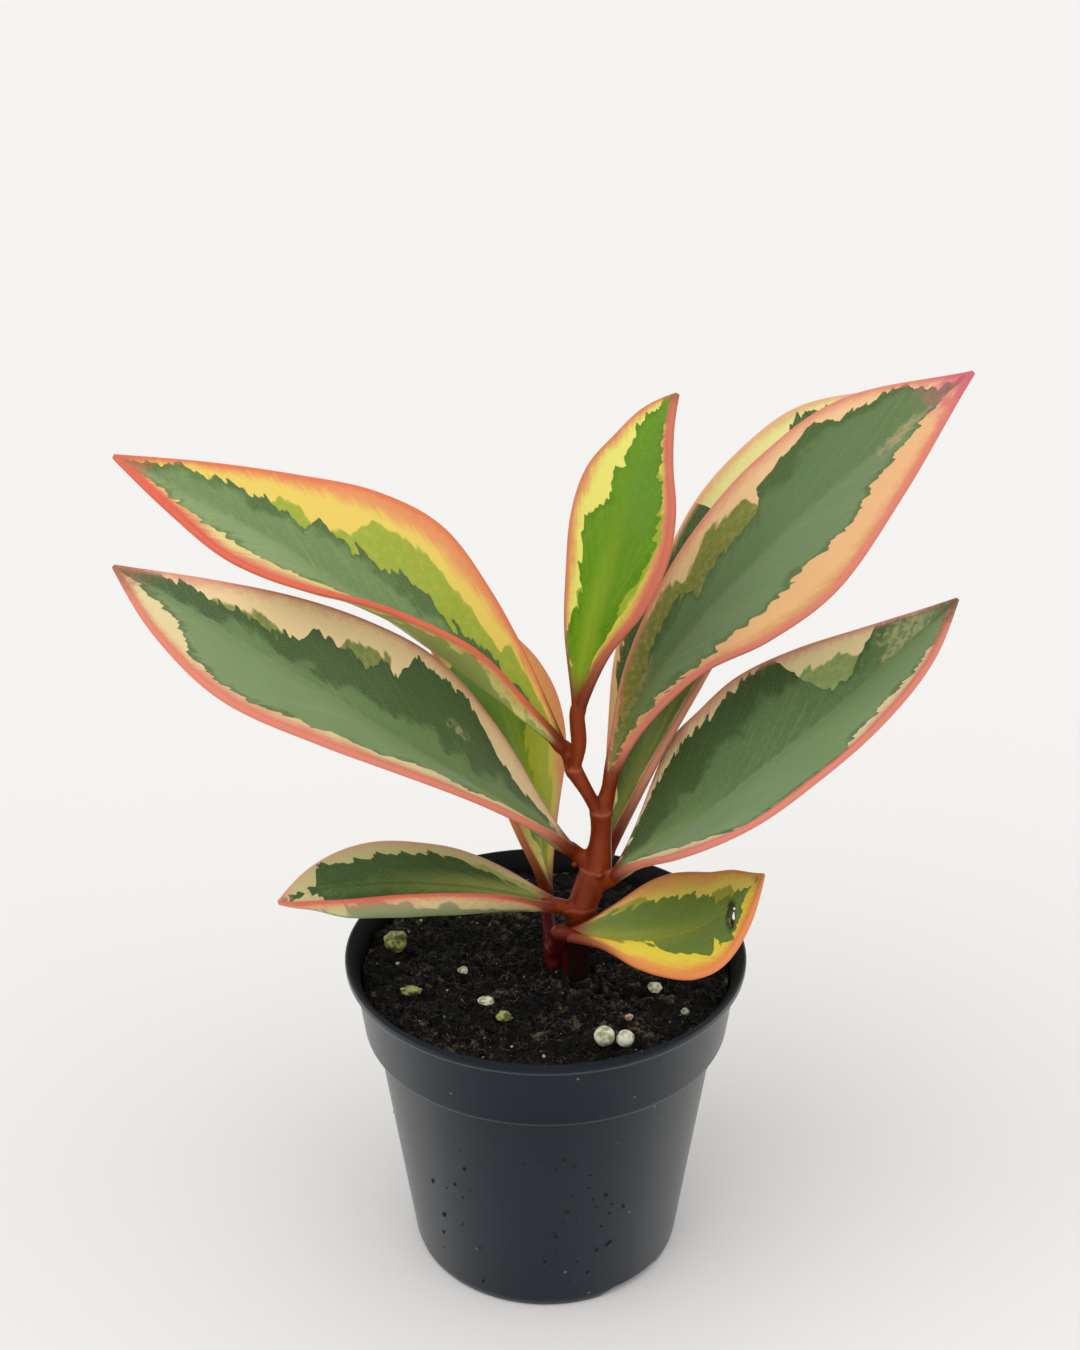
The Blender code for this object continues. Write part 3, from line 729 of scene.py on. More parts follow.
def smooth_path(points, radii, steps):
    """Points and radii along a smooth curve through the given ones."""
    points = np.array(points, float)
    padded = np.vstack([2 * points[0] - points[1], points, 2 * points[-1] - points[-2]])
    wide = np.array([radii[0], *radii, radii[-1]], float)
    out, sizes = [], []
    for k in range(1, len(points)):
        for step in range(steps):
            t = step / steps
            weights = np.array([-t + 2 * t**2 - t**3, 2 - 5 * t**2 + 3 * t**3,
                                t + 4 * t**2 - 3 * t**3, -t**2 + t**3]) / 2
            out.append(weights @ padded[k - 1:k + 3])
            sizes.append(weights @ wide[k - 1:k + 3])
    out.append(points[-1])
    sizes.append(radii[-1])
    return np.array(out), np.array(sizes)


def stem_tube(points, radii, sides=24):
    """Points and faces of a closed tube with flat ends along one stretch of stem."""
    path, sizes = smooth_path(points, radii, 8)
    along = np.gradient(path, axis=0)
    rings = []
    side = np.array([1.0, 0.0, 0.0])
    for point, size, direction in zip(path, sizes, along):
        forward = unit(direction)
        side = unit(side - forward * (side @ forward))
        other = np.cross(forward, side)
        for k in range(sides):
            angle = 2 * math.pi * k / sides
            rings.append(point + size * (math.cos(angle) * side + math.sin(angle) * other))
    faces = []
    for ring in range(len(path) - 1):
        for k in range(sides):
            after = (k + 1) % sides
            faces.append((ring * sides + k, ring * sides + after, (ring + 1) * sides + after,
                          (ring + 1) * sides + k))
    faces.append(tuple(reversed(range(sides))))
    faces.append(tuple((len(path) - 1) * sides + k for k in range(sides)))
    return rings, faces


stem_points, stem_faces = [], []
stretches = list(STEMS.values())
for name, (points, first_radius) in PETIOLES.items():
    base = np.array(LEAVES[name]["base"], float)
    forward = unit(midrib_control(LEAVES[name]) - base)
    end = (*points, base - PETIOLE_STRAIGHT * forward, base, base + 4 * forward)
    radii = (first_radius, *[PETIOLE_RADIUS] * (len(end) - 2), 0.8)
    stretches.append((end, radii))
for points, radii in stretches:
    rings, faces = stem_tube(points, radii)
    start = len(stem_points)
    stem_points += rings
    stem_faces += [tuple(start + k for k in face) for face in faces]
for x, y, z, size in NODES + BUDS:
    ball, ball_faces = lumpy_ball(3, 0.0, 0.0)
    flat = (1, 1, 0.55) if size > 2 else (1, 1, 1.2)
    start = len(stem_points)
    stem_points += list(ball * (size * np.array(flat)) + (x, y, z))
    stem_faces += [tuple(start + k for k in face) for face in ball_faces]
stem_rough = add_piece("stem_rough", stem_points, stem_faces)
remesh = stem_rough.modifiers.new("grow_together", "REMESH")
remesh.mode = "VOXEL"
remesh.voxel_size = STEM_VOXEL * MM
soften = stem_rough.modifiers.new("soften", "SMOOTH")
soften.factor = 0.5
soften.iterations = 6
grown = stem_rough.evaluated_get(bpy.context.evaluated_depsgraph_get())
stem_mesh = bpy.data.meshes.new_from_object(grown)
bpy.data.objects.remove(stem_rough)
stem_mesh.name = "stem_growth"
stem_mesh.shade_smooth()
stem = bpy.data.objects.new("stem_growth", stem_mesh)
bpy.context.scene.collection.objects.link(stem)

stem_skin, tree, shader = new_material("stem_skin", 0.38, 0.2)
place = place_node(tree, "TexCoord").outputs["Object"]
streaks = place_node(tree, "Mapping", {"Vector": place, "Scale": (1.0, 1.0, 0.25)})
blush = place_node(tree, "TexNoise", {"Vector": streaks.outputs["Vector"], "Scale": 160.0,
                                      "Detail": 4.0})
skin_tone = place_node(tree, "ValToRGB", {"Fac": blush.outputs["Fac"]})
skin_tone.color_ramp.elements[0].position = 0.3
skin_tone.color_ramp.elements[0].color = linear("#661b06")
skin_tone.color_ramp.elements[1].position = 0.72
skin_tone.color_ramp.elements[1].color = linear("#9a4014")
scar = place_node(tree, "Attribute", attribute_name="scar")
height = place_node(tree, "SeparateXYZ", {"Vector": place})
# Painted shade: below the lowest leaves the trunk turns near-black brown for the shadow it stands in
# there, partly also for soil on it; the side shoot left of the trunk keeps its dark wine red there.
low = place_node(tree, "MapRange", {"Value": height.outputs["Z"], "From Min": 0.092,
                                    "From Max": 0.084}, interpolation_type="SMOOTHSTEP")
shaded = blend(tree, low.outputs["Result"], skin_tone.outputs["Color"], linear("#24100a"))
left_of_trunk = place_node(tree, "MapRange", {"Value": height.outputs["X"], "From Min": 0.0052,
                                              "From Max": 0.0038})
wine = place_node(tree, "Math", {0: left_of_trunk.outputs["Result"], 1: low.outputs["Result"]},
                  operation="MULTIPLY")
two_shoots = blend(tree, wine.outputs[0], shaded, linear("#5a1013"))
ringed = blend(tree, scar.outputs["Fac"], two_shoots, linear("#b8705a"))
tree.links.new(ringed, shader.inputs["Base Color"])
pores = place_node(tree, "TexNoise", {"Vector": place, "Scale": 1100.0, "Detail": 3.0})
relief = place_node(tree, "Bump", {"Height": pores.outputs["Fac"], "Strength": 0.15,
                                   "Distance": 0.0003})
tree.links.new(relief.outputs["Normal"], shader.inputs["Normal"])
stem_mesh.materials.clear()
stem_mesh.materials.append(stem_skin)
stem_places = np.empty(len(stem_mesh.vertices) * 3)
stem_mesh.vertices.foreach_get("co", stem_places)
stem_places = stem_places.reshape(-1, 3) / MM
scars = np.zeros(len(stem_places))
for x, y, z, size in NODES:
    away = stem_places - (x, y, z + 0.25 * size)
    near_node = np.linalg.norm(away, axis=1) < size * 1.5
    scars = np.maximum(scars, near_node * np.exp(-(away[:, 2] / 0.3)**2) * 0.4)
stem_mesh.attributes.new("scar", "FLOAT", "POINT").data.foreach_set("value", scars)
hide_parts("stem")
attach(stem, "root")

# The leaves: thick, waxy succulent blades with a rounded coral rim, a cream or yellow band, and a
# green heart whose lobes follow the side veins. Each has its own colours and its own share of green.
ROWS = 130
HALF_COLUMNS = 18
BLADE_THICKNESS = 1.5
MARGIN_THICKNESS = 1.1
PETIOLE_HALF = 1.7
PETIOLE_THICKNESS = 2.6
TIP_HALF = 0.5
RIM_STEPS = 5
VEIN_SLANT = 1.8

# Per leaf, as (left, right) pairs of halves: where the green ends, as (share of the length, share of
# the half's width) corners; where a lime fringe outside it ends; from where the green is darkest;
# where the band turns to its outer tone; and the coral rim's width. Then the colours.
# Painted light in these colours: on some leaves the left and right heart tones differ to paint a pale
# sheen on the front half, and the tones of halves and undersides that turn away from the lamps are set
# lighter than the leaf's own colour against their shade.
LOOKS = {
    # Painted light: the underside tones are set lighter against the shade on the downturned underside.
    "leaf_upper_left": dict(
        green=(((0, 0.3), (0.45, 0.45), (0.6, 0.5), (0.9, 0.5), (0.96, 0.2)),
               ((0, 0.2), (0.2, 0.4), (0.3, 0.32), (0.43, 0.36), (0.55, 0.35), (0.64, 0.52),
                (0.65, 0.36), (0.76, 0.5), (0.78, 0.55), (0.82, 0.58), (0.84, 0.62), (0.91, 0.85),
                (0.92, 0.6), (0.97, 0.5))),
        lime=(((0, 0.3), (0.3, 0.3), (0.4, 0)),
              ((0, 0), (0.08, 0.75), (0.2, 0.8), (0.21, 0.55), (0.33, 0.62), (0.45, 0.66),
               (0.55, 0.7), (0.57, 0.5), (0.63, 0.4), (0.72, 0.62), (0.74, 0.3))),
        dark=((0.8, 0.9), (0.12, 0.5)),
        outer=(0.64, 0.8), rim=(2.0, 1.0),
        tip_tone="#d8705c",
        rim_tone=("#e8674f", "#ea7a52"), outer_tone=("#ee9070", "#f2a066"),
        band_tone=("#f0dc90", "#f4d868"), heart=("#87a272", "#708f5d"), lime_tone="#a3b53c",
        dark_tone="#4a6a38", under=("#e8e28c", "#a9b868")),
    # Painted sheen: the left heart tone is lighter than the right for a pale sheen on the front half.
    "leaf_middle_left": dict(
        green=(((0, 0.3), (0.15, 0.4), (0.3, 0.56), (0.45, 0.7), (0.58, 0.78), (0.65, 0.84),
                (0.8, 0.82), (0.83, 0.55), (0.9, 0.35), (0.96, 0.3)),
               ((0, 0.2), (0.06, 0.5), (0.18, 0.64), (0.23, 0.8), (0.3, 0.9), (0.35, 0.88),
                (0.46, 0.85), (0.47, 0.6), (0.52, 0.7), (0.53, 0.5), (0.58, 0.58), (0.66, 0.66),
                (0.67, 0.42), (0.75, 0.4), (0.86, 0.55), (0.93, 0.85), (0.97, 0.95))),
        lime=(((0, 0), (1, 0)),
              ((0, 0), (0.46, 0), (0.5, 0.74), (0.6, 0.72), (0.61, 0.3), (0.68, 0.45),
               (0.75, 0.56), (0.83, 0.58), (0.86, 0.3))),
        dark=((0.85, 0.95), (0.38, 0.1)),
        outer=(0.84, 0.96), rim=(1.1, 0.6),
        tip_tone="#9a6a50",
        rim_tone=("#e6866f", "#e39a84"), outer_tone=("#efa488", "#f4bc98"),
        band_tone=("#f0dfa8", "#f8dcaa"), heart=("#819c6e", "#678453"), lime_tone="#7f8f48",
        dark_tone="#3f5a30", under=("#d6cda0", "#97a06c")),
    "leaf_lower_left": dict(
        green=(((0, 0.1), (0.15, 0.3), (0.8, 0.35), (0.83, 0.1)),
               ((0, 0), (0.1, 0.35), (0.2, 0.5), (0.28, 0.6), (0.43, 0.74), (0.55, 0.66),
                (0.62, 0.56), (0.7, 0.62), (0.82, 0.9), (0.83, 0.1))),
        lime=(((0, 0), (1, 0)), ((0, 0.7), (0.3, 0.7), (0.4, 0))),
        dark=((0.0, 0.1), (0.0, 0.1)),
        outer=(0.7, 0.9), rim=(0.9, 0.4),
        tip_tone="#d98a70", midrib="#22361c",
        rim_tone=("#d9604e", "#dba88a"), outer_tone=("#e59a84", "#e0b894"),
        band_tone=("#d9c998", "#cfc48e"), heart=("#46683a", "#4a6b38"), lime_tone="#a9ae5e",
        dark_tone="#345228", under=("#d3c98e", "#8f9a6c")),
    "leaf_top": dict(
        green=(((0, 0.3), (0.05, 0.75), (0.14, 0.85), (0.17, 0.78), (0.22, 0.52), (0.28, 0.6),
                (0.4, 0.7), (0.46, 0.6), (0.52, 0.3), (0.57, 0.42), (0.62, 0.44), (0.635, 0.24),
                (0.68, 0.44), (0.78, 0.6), (0.85, 0.6), (0.89, 0.42), (0.95, 0.9)),
               ((0, 0.3), (0.1, 0.5), (0.22, 0.6), (0.3, 0.6), (0.4, 0.76), (0.46, 0.8),
                (0.48, 0.7), (0.6, 0.76), (0.66, 0.64), (0.75, 0.56), (0.84, 0.6), (0.9, 0.95))),
        lime=(((0, 0), (0.1, 0.3), (0.25, 0.65), (0.3, 0)), ((0, 0), (0.25, 0.66), (0.5, 0.84),
                                                          (0.65, 0.72), (0.75, 0.3))),
        dark=((0.9, 0.95), (0.9, 0.95)),
        outer=(0.82, 0.78), rim=(0.9, 1.6),
        tip_tone="#a2643c",
        rim_tone=("#d9805c", "#d2705a"), outer_tone=("#eaa866", "#e49468"),
        band_tone=("#f1ec78", "#d9d552"), heart=("#5f940a", "#5a9008"), lime_tone="#9ab02c",
        dark_tone="#4c7c08", under=("#b4c850", "#7fa030")),
    # Painted light: the right heart tone is lighter for a pale sheen on the front half, and the left
    # band and outer tones are set lighter against the shade on the far half.
    "leaf_upper_right": dict(
        green=(((0, 0.2), (0.14, 0.5), (0.28, 0.3), (0.38, 0.46), (0.49, 0.56), (0.5, 0.35),
                (0.57, 0.45), (0.6, 0.46), (0.67, 0.42), (0.69, 0.72), (0.74, 0.8), (0.81, 0.88),
                (0.83, 0.72), (0.88, 0.76), (0.93, 0.88), (0.96, 0.4)),
               ((0, 0.2), (0.15, 0.5), (0.28, 0.58), (0.36, 0.74), (0.43, 0.77), (0.57, 0.68),
                (0.66, 0.58), (0.72, 0.56), (0.78, 0.64), (0.81, 0.52), (0.9, 0.42),
                (0.95, 0.15))),
        lime=(((0, 0.3), (0.16, 0.9), (0.3, 0.94), (0.42, 0.92), (0.49, 0.8), (0.5, 0.66),
               (0.58, 0.78), (0.66, 0.76), (0.7, 0.3)),
              ((0, 0), (1, 0))),
        dark=((0.15, 0.75), (0.8, 0.9)),
        outer=(0.9, 0.88), rim=(1.0, 1.0),
        tip_tone="#d4607a",
        rim_tone=("#e58c74", "#e2806e"), outer_tone=("#f2b088", "#dfae6c"),
        band_tone=("#f8cd98", "#f1bd86"), heart=("#5b7d4e", "#6c8a5f"), lime_tone="#7f8630",
        dark_tone="#42602c", under=("#d5b06a", "#9a8a40")),
    "leaf_back_right": dict(
        green=(((0, 0.3), (0.2, 0.9), (0.56, 1.1), (0.57, 0.4), (0.75, 0.5), (0.86, 0.85),
                (0.89, 0.5), (1, 0.3)),
               ((0, 0.2), (0.2, 0.45), (0.5, 0.6), (1, 0.3))),
        lime=(((0, 0), (1, 0)), ((0, 0.4), (0.3, 0.6), (0.5, 0))),
        dark=((0.4, 0.8), (0.8, 0.9)),
        outer=(0.93, 0.85), rim=(0.8, 0.9),
        tip_tone="#ecc090",
        rim_tone=("#eeb488", "#e2937e"), outer_tone=("#f6d98c", "#f0c09a"),
        band_tone=("#f8f2a0", "#efe2b0"), heart=("#46682f", "#748848"), lime_tone="#a9b35a",
        dark_tone="#35592a", under=("#ece68e", "#b9bf6a")),
    # Painted light: the left band tone is set lighter against the shade on the far half.
    "leaf_lower_right": dict(
        green=(((0, 0.4), (0.05, 0.85), (0.15, 0.9), (0.3, 0.84), (0.43, 0.87), (0.57, 0.94),
                (0.66, 1.02), (0.68, 0.6), (0.7, 0.26), (0.76, 0.22), (0.79, 0.45), (0.83, 0.62),
                (0.87, 0.9), (0.9, 1.05)),
               ((0, 0.2), (0.14, 0.5), (0.28, 0.74), (0.43, 0.9), (0.6, 0.96), (0.645, 1.0),
                (0.65, 0.82), (0.72, 0.78), (0.8, 0.76), (0.9, 0.85), (0.97, 1.0))),
        lime=(((0, 0), (0.62, 0), (0.66, 0.3), (0.68, 0.66), (0.78, 0.62), (0.82, 0.3)),
              ((0, 0), (0.4, 0), (0.45, 0.94), (0.56, 0.98), (0.6, 0.3))),
        dark=((0.2, 0.85), (0.9, 0.95)),
        outer=(0.93, 0.9), rim=(0.7, 1.3),
        tip_tone="#5c5a3c",
        rim_tone=("#e4a290", "#df8270"), outer_tone=("#eab49a", "#e9a890"),
        band_tone=("#f8e8b6", "#eedcb0"), heart=("#5b7d4e", "#7b9c70"), lime_tone="#8fa866",
        dark_tone="#38562c", under=("#d8cfa0", "#97a06c")),
    # Painted light: the left band and outer tones are set lighter against the shade on the far half.
    "leaf_small_right": dict(
        green=(((0, 0.6), (0.1, 0.85), (0.15, 0.78), (0.28, 0.66), (0.43, 0.63), (0.55, 0.62),
                (0.67, 0.58), (0.68, 0.45), (0.72, 0.32), (0.8, 0.3), (0.88, 0.25), (0.92, 0.05)),
               ((0, 0.2), (0.05, 0.2), (0.12, -0.1), (0.28, 0.0), (0.34, 0.12), (0.4, 0.36),
                (0.5, 0.47), (0.6, 0.6), (0.68, 0.68), (0.69, 0.45), (0.72, 0.62), (0.8, 0.74),
                (0.88, 0.4), (0.92, 0.05))),
        lime=(((0, 0.7), (0.14, 0.8), (0.3, 0.75), (0.5, 0), (0.66, 0.3), (0.7, 0.56),
               (0.82, 0.5), (0.84, 0)),
              ((0, 0.6), (0.12, 0.2), (0.25, 0.1), (0.35, 0.2), (0.4, 0))),
        dark=((0.9, 0.95), (0.9, 0.95)),
        outer=(0.78, 0.75), rim=(0.7, 0.9),
        tip_tone="#d08a4c",
        rim_tone=("#e0905a", "#e98c50"), outer_tone=("#e9b062", "#efa650"),
        band_tone=("#e8cc62", "#eed84a"), heart=("#64803a", "#64803c"), lime_tone="#9a9e38",
        dark_tone="#5f7f2e", under=("#d9b860", "#a8a040")),
    # Painted light: the left band tone and the left heart tone are set lighter against the shade this
    # leaf stands in at the back.
    "leaf_back_left": dict(
        green=(((0, 0.2), (0.15, 0.5), (0.4, 0.85), (0.6, 0.8), (0.7, 0.6), (1, 0.3)),
               ((0, 0.1), (0.2, 0.05), (0.35, 0.1), (0.5, 0.3), (0.7, 0.4), (1, 0.2))),
        lime=(((0, 0), (1, 0)),
              ((0, 0.3), (0.2, 0.5), (0.4, 0.6), (0.6, 0.7), (0.8, 0.5), (1, 0.2))),
        dark=((0.9, 0.95), (0.9, 0.95)),
        outer=(0.85, 0.72), rim=(0.9, 1.0),
        tip_tone="#d8904c",
        rim_tone=("#e28e5c", "#e38858"), outer_tone=("#eaa868", "#e8a056"),
        band_tone=("#efea50", "#e2d048"), heart=("#6ea030", "#82a42c"), lime_tone="#b6c530",
        dark_tone="#4c8a2c", under=("#c9b84a", "#8f9a38")),
}


def half_width(widths, u):
    """Width of one half along the blade: a smooth curve through the given widths and both ends."""
    knots = np.array([-widths[0], 0, *widths, 0, -widths[-1]], float)
    place = u * (len(widths) + 1)
    k = np.minimum(place.astype(int), len(widths))
    t = place - k
    return (knots[k] * (-t + 2 * t**2 - t**3) + knots[k + 1] * (2 - 5 * t**2 + 3 * t**3)
            + knots[k + 2] * (t + 4 * t**2 - 3 * t**3) + knots[k + 3] * (t**3 - t**2)) / 2


def half_section(fold, curl, u, columns):
    """Across one half of a blade of width 1, at each row: how far out and up each column is."""
    fine = np.linspace(0, 1, 49)
    middle = (fine[1:] + fine[:-1]) / 2
    angle = np.radians(fold[0] + (fold[1] - fold[0]) * u[:, None] + curl * middle**1.5)
    start = np.zeros((len(u), 1))
    out = np.hstack([start, np.cumsum(np.cos(angle), axis=1)]) / len(middle)
    rise = np.hstack([start, np.cumsum(np.sin(angle), axis=1)]) / len(middle)
    return (np.array([np.interp(columns, fine, row) for row in out]),
            np.array([np.interp(columns, fine, row) for row in rise]))


def blade_surface(leaf, u, columns):
    """Middle surface of a blade, in rows from base to tip and columns from the right edge to the
    left, the midrib's direction at each row and the width of the right and the left half."""
    base, tip = (np.array(leaf[key], float) for key in ("base", "tip"))
    control = midrib_control(leaf)
    t = u[:, None]
    midrib = (1 - t)**2 * base + 2 * t * (1 - t) * control + t**2 * tip
    along = unit((1 - t) * (control - base) + t * (tip - control))
    level = unit(np.cross([0.0, 0.0, 1.0], along))
    above = np.cross(along, level)
    roll = np.radians(leaf["roll"][0] + (leaf["roll"][1] - leaf["roll"][0]) * t)
    side = level * np.cos(roll) + above * np.sin(roll)
    normal = above * np.cos(roll) - level * np.sin(roll)
    stem_width = PETIOLE_HALF * (1 - u)**8 + TIP_HALF * u**8
    halves, widths = [], []
    for half, hand, sign in (("right", 1, -1), ("left", 0, 1)):
        widths.append(half_width(leaf[half], u) + stem_width)
        width = widths[-1][:, None, None]
        out, rise = half_section(leaf["fold"][hand], leaf["curl"][hand], u, columns)
        halves.append(midrib[:, None] + width * (sign * out[:, :, None] * side[:, None]
                                                 + rise[:, :, None] * normal[:, None]))
    return np.concatenate([halves[0][:, ::-1], halves[1][:, 1:]], axis=1), along, widths


# A torn spot that goes through the blade: middle and half size, in shares of length and of width.
TEARS = {"leaf_small_right": (0.79, 0.028, -0.24, 0.34)}
# Spots with pale flecks in the green: middle and half size in the same shares, left half positive.
MARBLING = {
    "leaf_lower_right": ((0.91, 0.4, 0.08, 0.45), (0.85, 0.12, 0.04, 0.16)),
    "leaf_middle_left": ((0.31, -0.52, 0.05, 0.06),),
    "leaf_upper_right": ((0.25, 0.35, 0.12, 0.25), (0.9, -0.1, 0.06, 0.2)),
    "leaf_lower_left": ((0.5, 0.6, 0.3, 0.3),),
}
TIP_START = 0.9


def along_corners(corners, u):
    """A value that runs straight from corner to corner along the leaf."""
    places, values = zip(*corners)
    return np.interp(u, places, values)[:, None]


def leaf_blade(name, leaf, looks):
    """A closed fine blade with a rounded rim, and the fields that its colours follow."""
    u = np.linspace(0, 1, ROWS)
    smooth = np.linspace(0, 1, 49)
    surface, along, (width_right, width_left) = blade_surface(leaf, u, smooth)
    along = along[:, None]
    taper = np.minimum(1.0, (0.15 + 9 * (1 - u))**0.5)
    rim_radius = (0.62 * MARGIN_THICKNESS + 0.5 * (PETIOLE_THICKNESS - MARGIN_THICKNESS)
                  * (1 - u)**8) * taper
    shares = np.sin(np.linspace(0, math.pi / 2, HALF_COLUMNS + 1))
    right_end = 1 - np.minimum(0.8, rim_radius / width_right)
    left_end = 1 - np.minimum(0.8, rim_radius / width_left)
    v = np.hstack([-shares[::-1] * right_end[:, None], shares[1:] * left_end[:, None]])
    grid = np.concatenate([-smooth[::-1], smooth[1:]])
    surface = np.array([[np.interp(v[row], grid, surface[row, :, axis]) for axis in range(3)]
                        for row in range(ROWS)]).transpose(0, 2, 1)
    down = np.gradient(surface, axis=0)
    over = np.gradient(surface, axis=1)
    normal = np.cross(down, over)
    normal = unit(normal - along * (normal * along).sum(axis=-1, keepdims=True))
    width = np.where(v < 0, width_right[:, None], width_left[:, None])
    from_margin = (1 - np.abs(v)) * width
    thickness = BLADE_THICKNESS + (MARGIN_THICKNESS - BLADE_THICKNESS) * v**2
    thickness = thickness + (PETIOLE_THICKNESS - BLADE_THICKNESS) * (1 - u[:, None])**8
    thickness = thickness * taper[:, None]
    bead = np.exp(-np.maximum(from_margin - 1.0, 0)**2 / 0.8)
    thickness = thickness + (2 * rim_radius[:, None] - thickness) * bead
    groove = 0.3 * np.exp(-(v * width / 0.9)**2) * (1 - bead)
    swell = np.array([[noise.noise(Vector(point) / 11 + Vector((0, 0, 5))) for point in row]
                      for row in surface]) * 0.5 * (1 - bead)
    middle_surface = surface + normal * swell[:, :, None]
    upper = middle_surface + normal * (thickness / 2 - groove)[:, :, None]
    lower = middle_surface - normal * (thickness / 2 + groove)[:, :, None]
    across = v.shape[1]
    loops, stations = [upper], [v]
    under = [np.zeros((ROWS, across))]
    for edge, sign in ((across - 1, 1), (0, -1)):
        outward = unit(over[:, edge]) * sign
        radius = rim_radius[:, None]
        angles = np.linspace(math.pi / 2, -math.pi / 2, RIM_STEPS + 2)[1:-1] * sign
        ring = np.stack([surface[:, edge] + radius * (math.cos(a) * outward
                                                      + math.sin(a) * normal[:, edge])
                         for a in angles], axis=1)
        loops.append(ring)
        stations.append(np.full((ROWS, RIM_STEPS), float(sign)))
        under.append(np.broadcast_to((1 - np.sin(angles)) / 2, (ROWS, RIM_STEPS)))
        if sign > 0:
            loops.append(lower[:, ::-1])
            stations.append(v[:, ::-1])
            under.append(np.ones((ROWS, across)))
    rows = np.concatenate(loops, axis=1)
    station = np.concatenate(stations, axis=1)
    under = np.concatenate(under, axis=1)
    around = rows.shape[1]
    points = rows.reshape(-1, 3)
    index = np.arange(ROWS * around).reshape(ROWS, around)
    after = np.roll(index, -1, axis=1)
    faces = np.stack([index[:-1], after[:-1], after[1:], index[1:]], axis=-1).reshape(-1, 4)
    faces = [tuple(face) for face in faces.tolist()]
    faces.append(tuple(reversed(index[0].tolist())))
    faces.append(tuple(index[-1].tolist()))
    torn = np.zeros((ROWS, around))
    if name in TEARS:
        middle_u, half_u, middle_v, half_v = TEARS[name]
        squares = index.shape[0] - 1, across - 1
        centre_u = (u[:-1] + u[1:])[:, None] / 2
        centre_v = (v[:-1, :-1] + v[1:, 1:]) / 2
        apart = ((centre_u - middle_u) / half_u)**2 + ((centre_v - middle_v) / half_v)**2
        open_here = apart < 1
        gone = set()
        walls = []
        for row, column in zip(*np.nonzero(open_here)):
            top = [(row, column), (row, column + 1), (row + 1, column + 1), (row + 1, column)]
            ids = [index[r, c] for r, c in top]
            below = [index[r, 2 * across + RIM_STEPS - 1 - c] for r, c in top]
            gone.add(frozenset(ids))
            gone.add(frozenset(below))
            for k, (step_row, step_column) in enumerate(((-1, 0), (0, 1), (1, 0), (0, -1))):
                other = (row + step_row, column + step_column)
                inside = 0 <= other[0] < squares[0] and 0 <= other[1] < squares[1]
                if not (inside and open_here[other]):
                    after_k = (k + 1) % 4
                    walls.append((ids[k], ids[after_k], below[after_k], below[k]))
        faces = [face for face in faces if frozenset(face) not in gone]
        faces += [tuple(int(k) for k in wall) for wall in walls]
        ring_u = (u[:, None] - middle_u) / half_u
        torn = np.exp(-np.maximum(ring_u**2 + ((station - middle_v) / half_v)**2 - 1, 0) / 0.3)
        torn = torn * (torn > 0.05)
    piece = add_piece(name + "_blade", points, faces)

    on_right = station < 0
    part = np.abs(station)
    width = np.where(on_right, width_right[:, None], width_left[:, None])
    length = np.linalg.norm(np.diff(points[index[:, across // 2]], axis=0), axis=1).sum()
    grown = u[:, None] * length

    def by_half(pair):
        return np.where(on_right, along_corners(pair[1], u), along_corners(pair[0], u))

    outer = np.where(on_right, looks["outer"][1], looks["outer"][0])
    rim = np.where(on_right, looks["rim"][1], looks["rim"][0])
    dark = np.where(on_right, *[looks["dark"][k][0] + (looks["dark"][k][1] - looks["dark"][k][0])
                                * u[:, None] for k in (1, 0)])
    margin = (1 - part) * width
    marbled = np.zeros((ROWS, around))
    for middle_u, middle_v, half_u, half_v in MARBLING.get(name, ()):
        apart = ((u[:, None] - middle_u) / half_u)**2 + ((station - middle_v) / half_v)**2
        marbled = np.maximum(marbled, np.exp(-apart**2) * (under < 0.5))
    fields = {
        "zones": ((by_half(looks["green"]) - part) * width, (by_half(looks["lime"]) - part) * width,
                  (part - dark) * width),
        "growth": (grown - VEIN_SLANT * part * width, station * width, margin),
        "edges": ((part - outer) * width, rim - margin, grown + 0 * part),
        "sides": (on_right * 1.0, under, torn),
        "spots": (marbled, np.clip((u[:, None] - TIP_START) / (1 - TIP_START), 0, 1) + 0 * part,
                  0 * part),
    }
    for label, values in fields.items():
        field = piece.data.attributes.new(label, "FLOAT_VECTOR", "POINT")
        field.data.foreach_set("vector", np.stack(values, axis=-1).reshape(-1))
    return piece


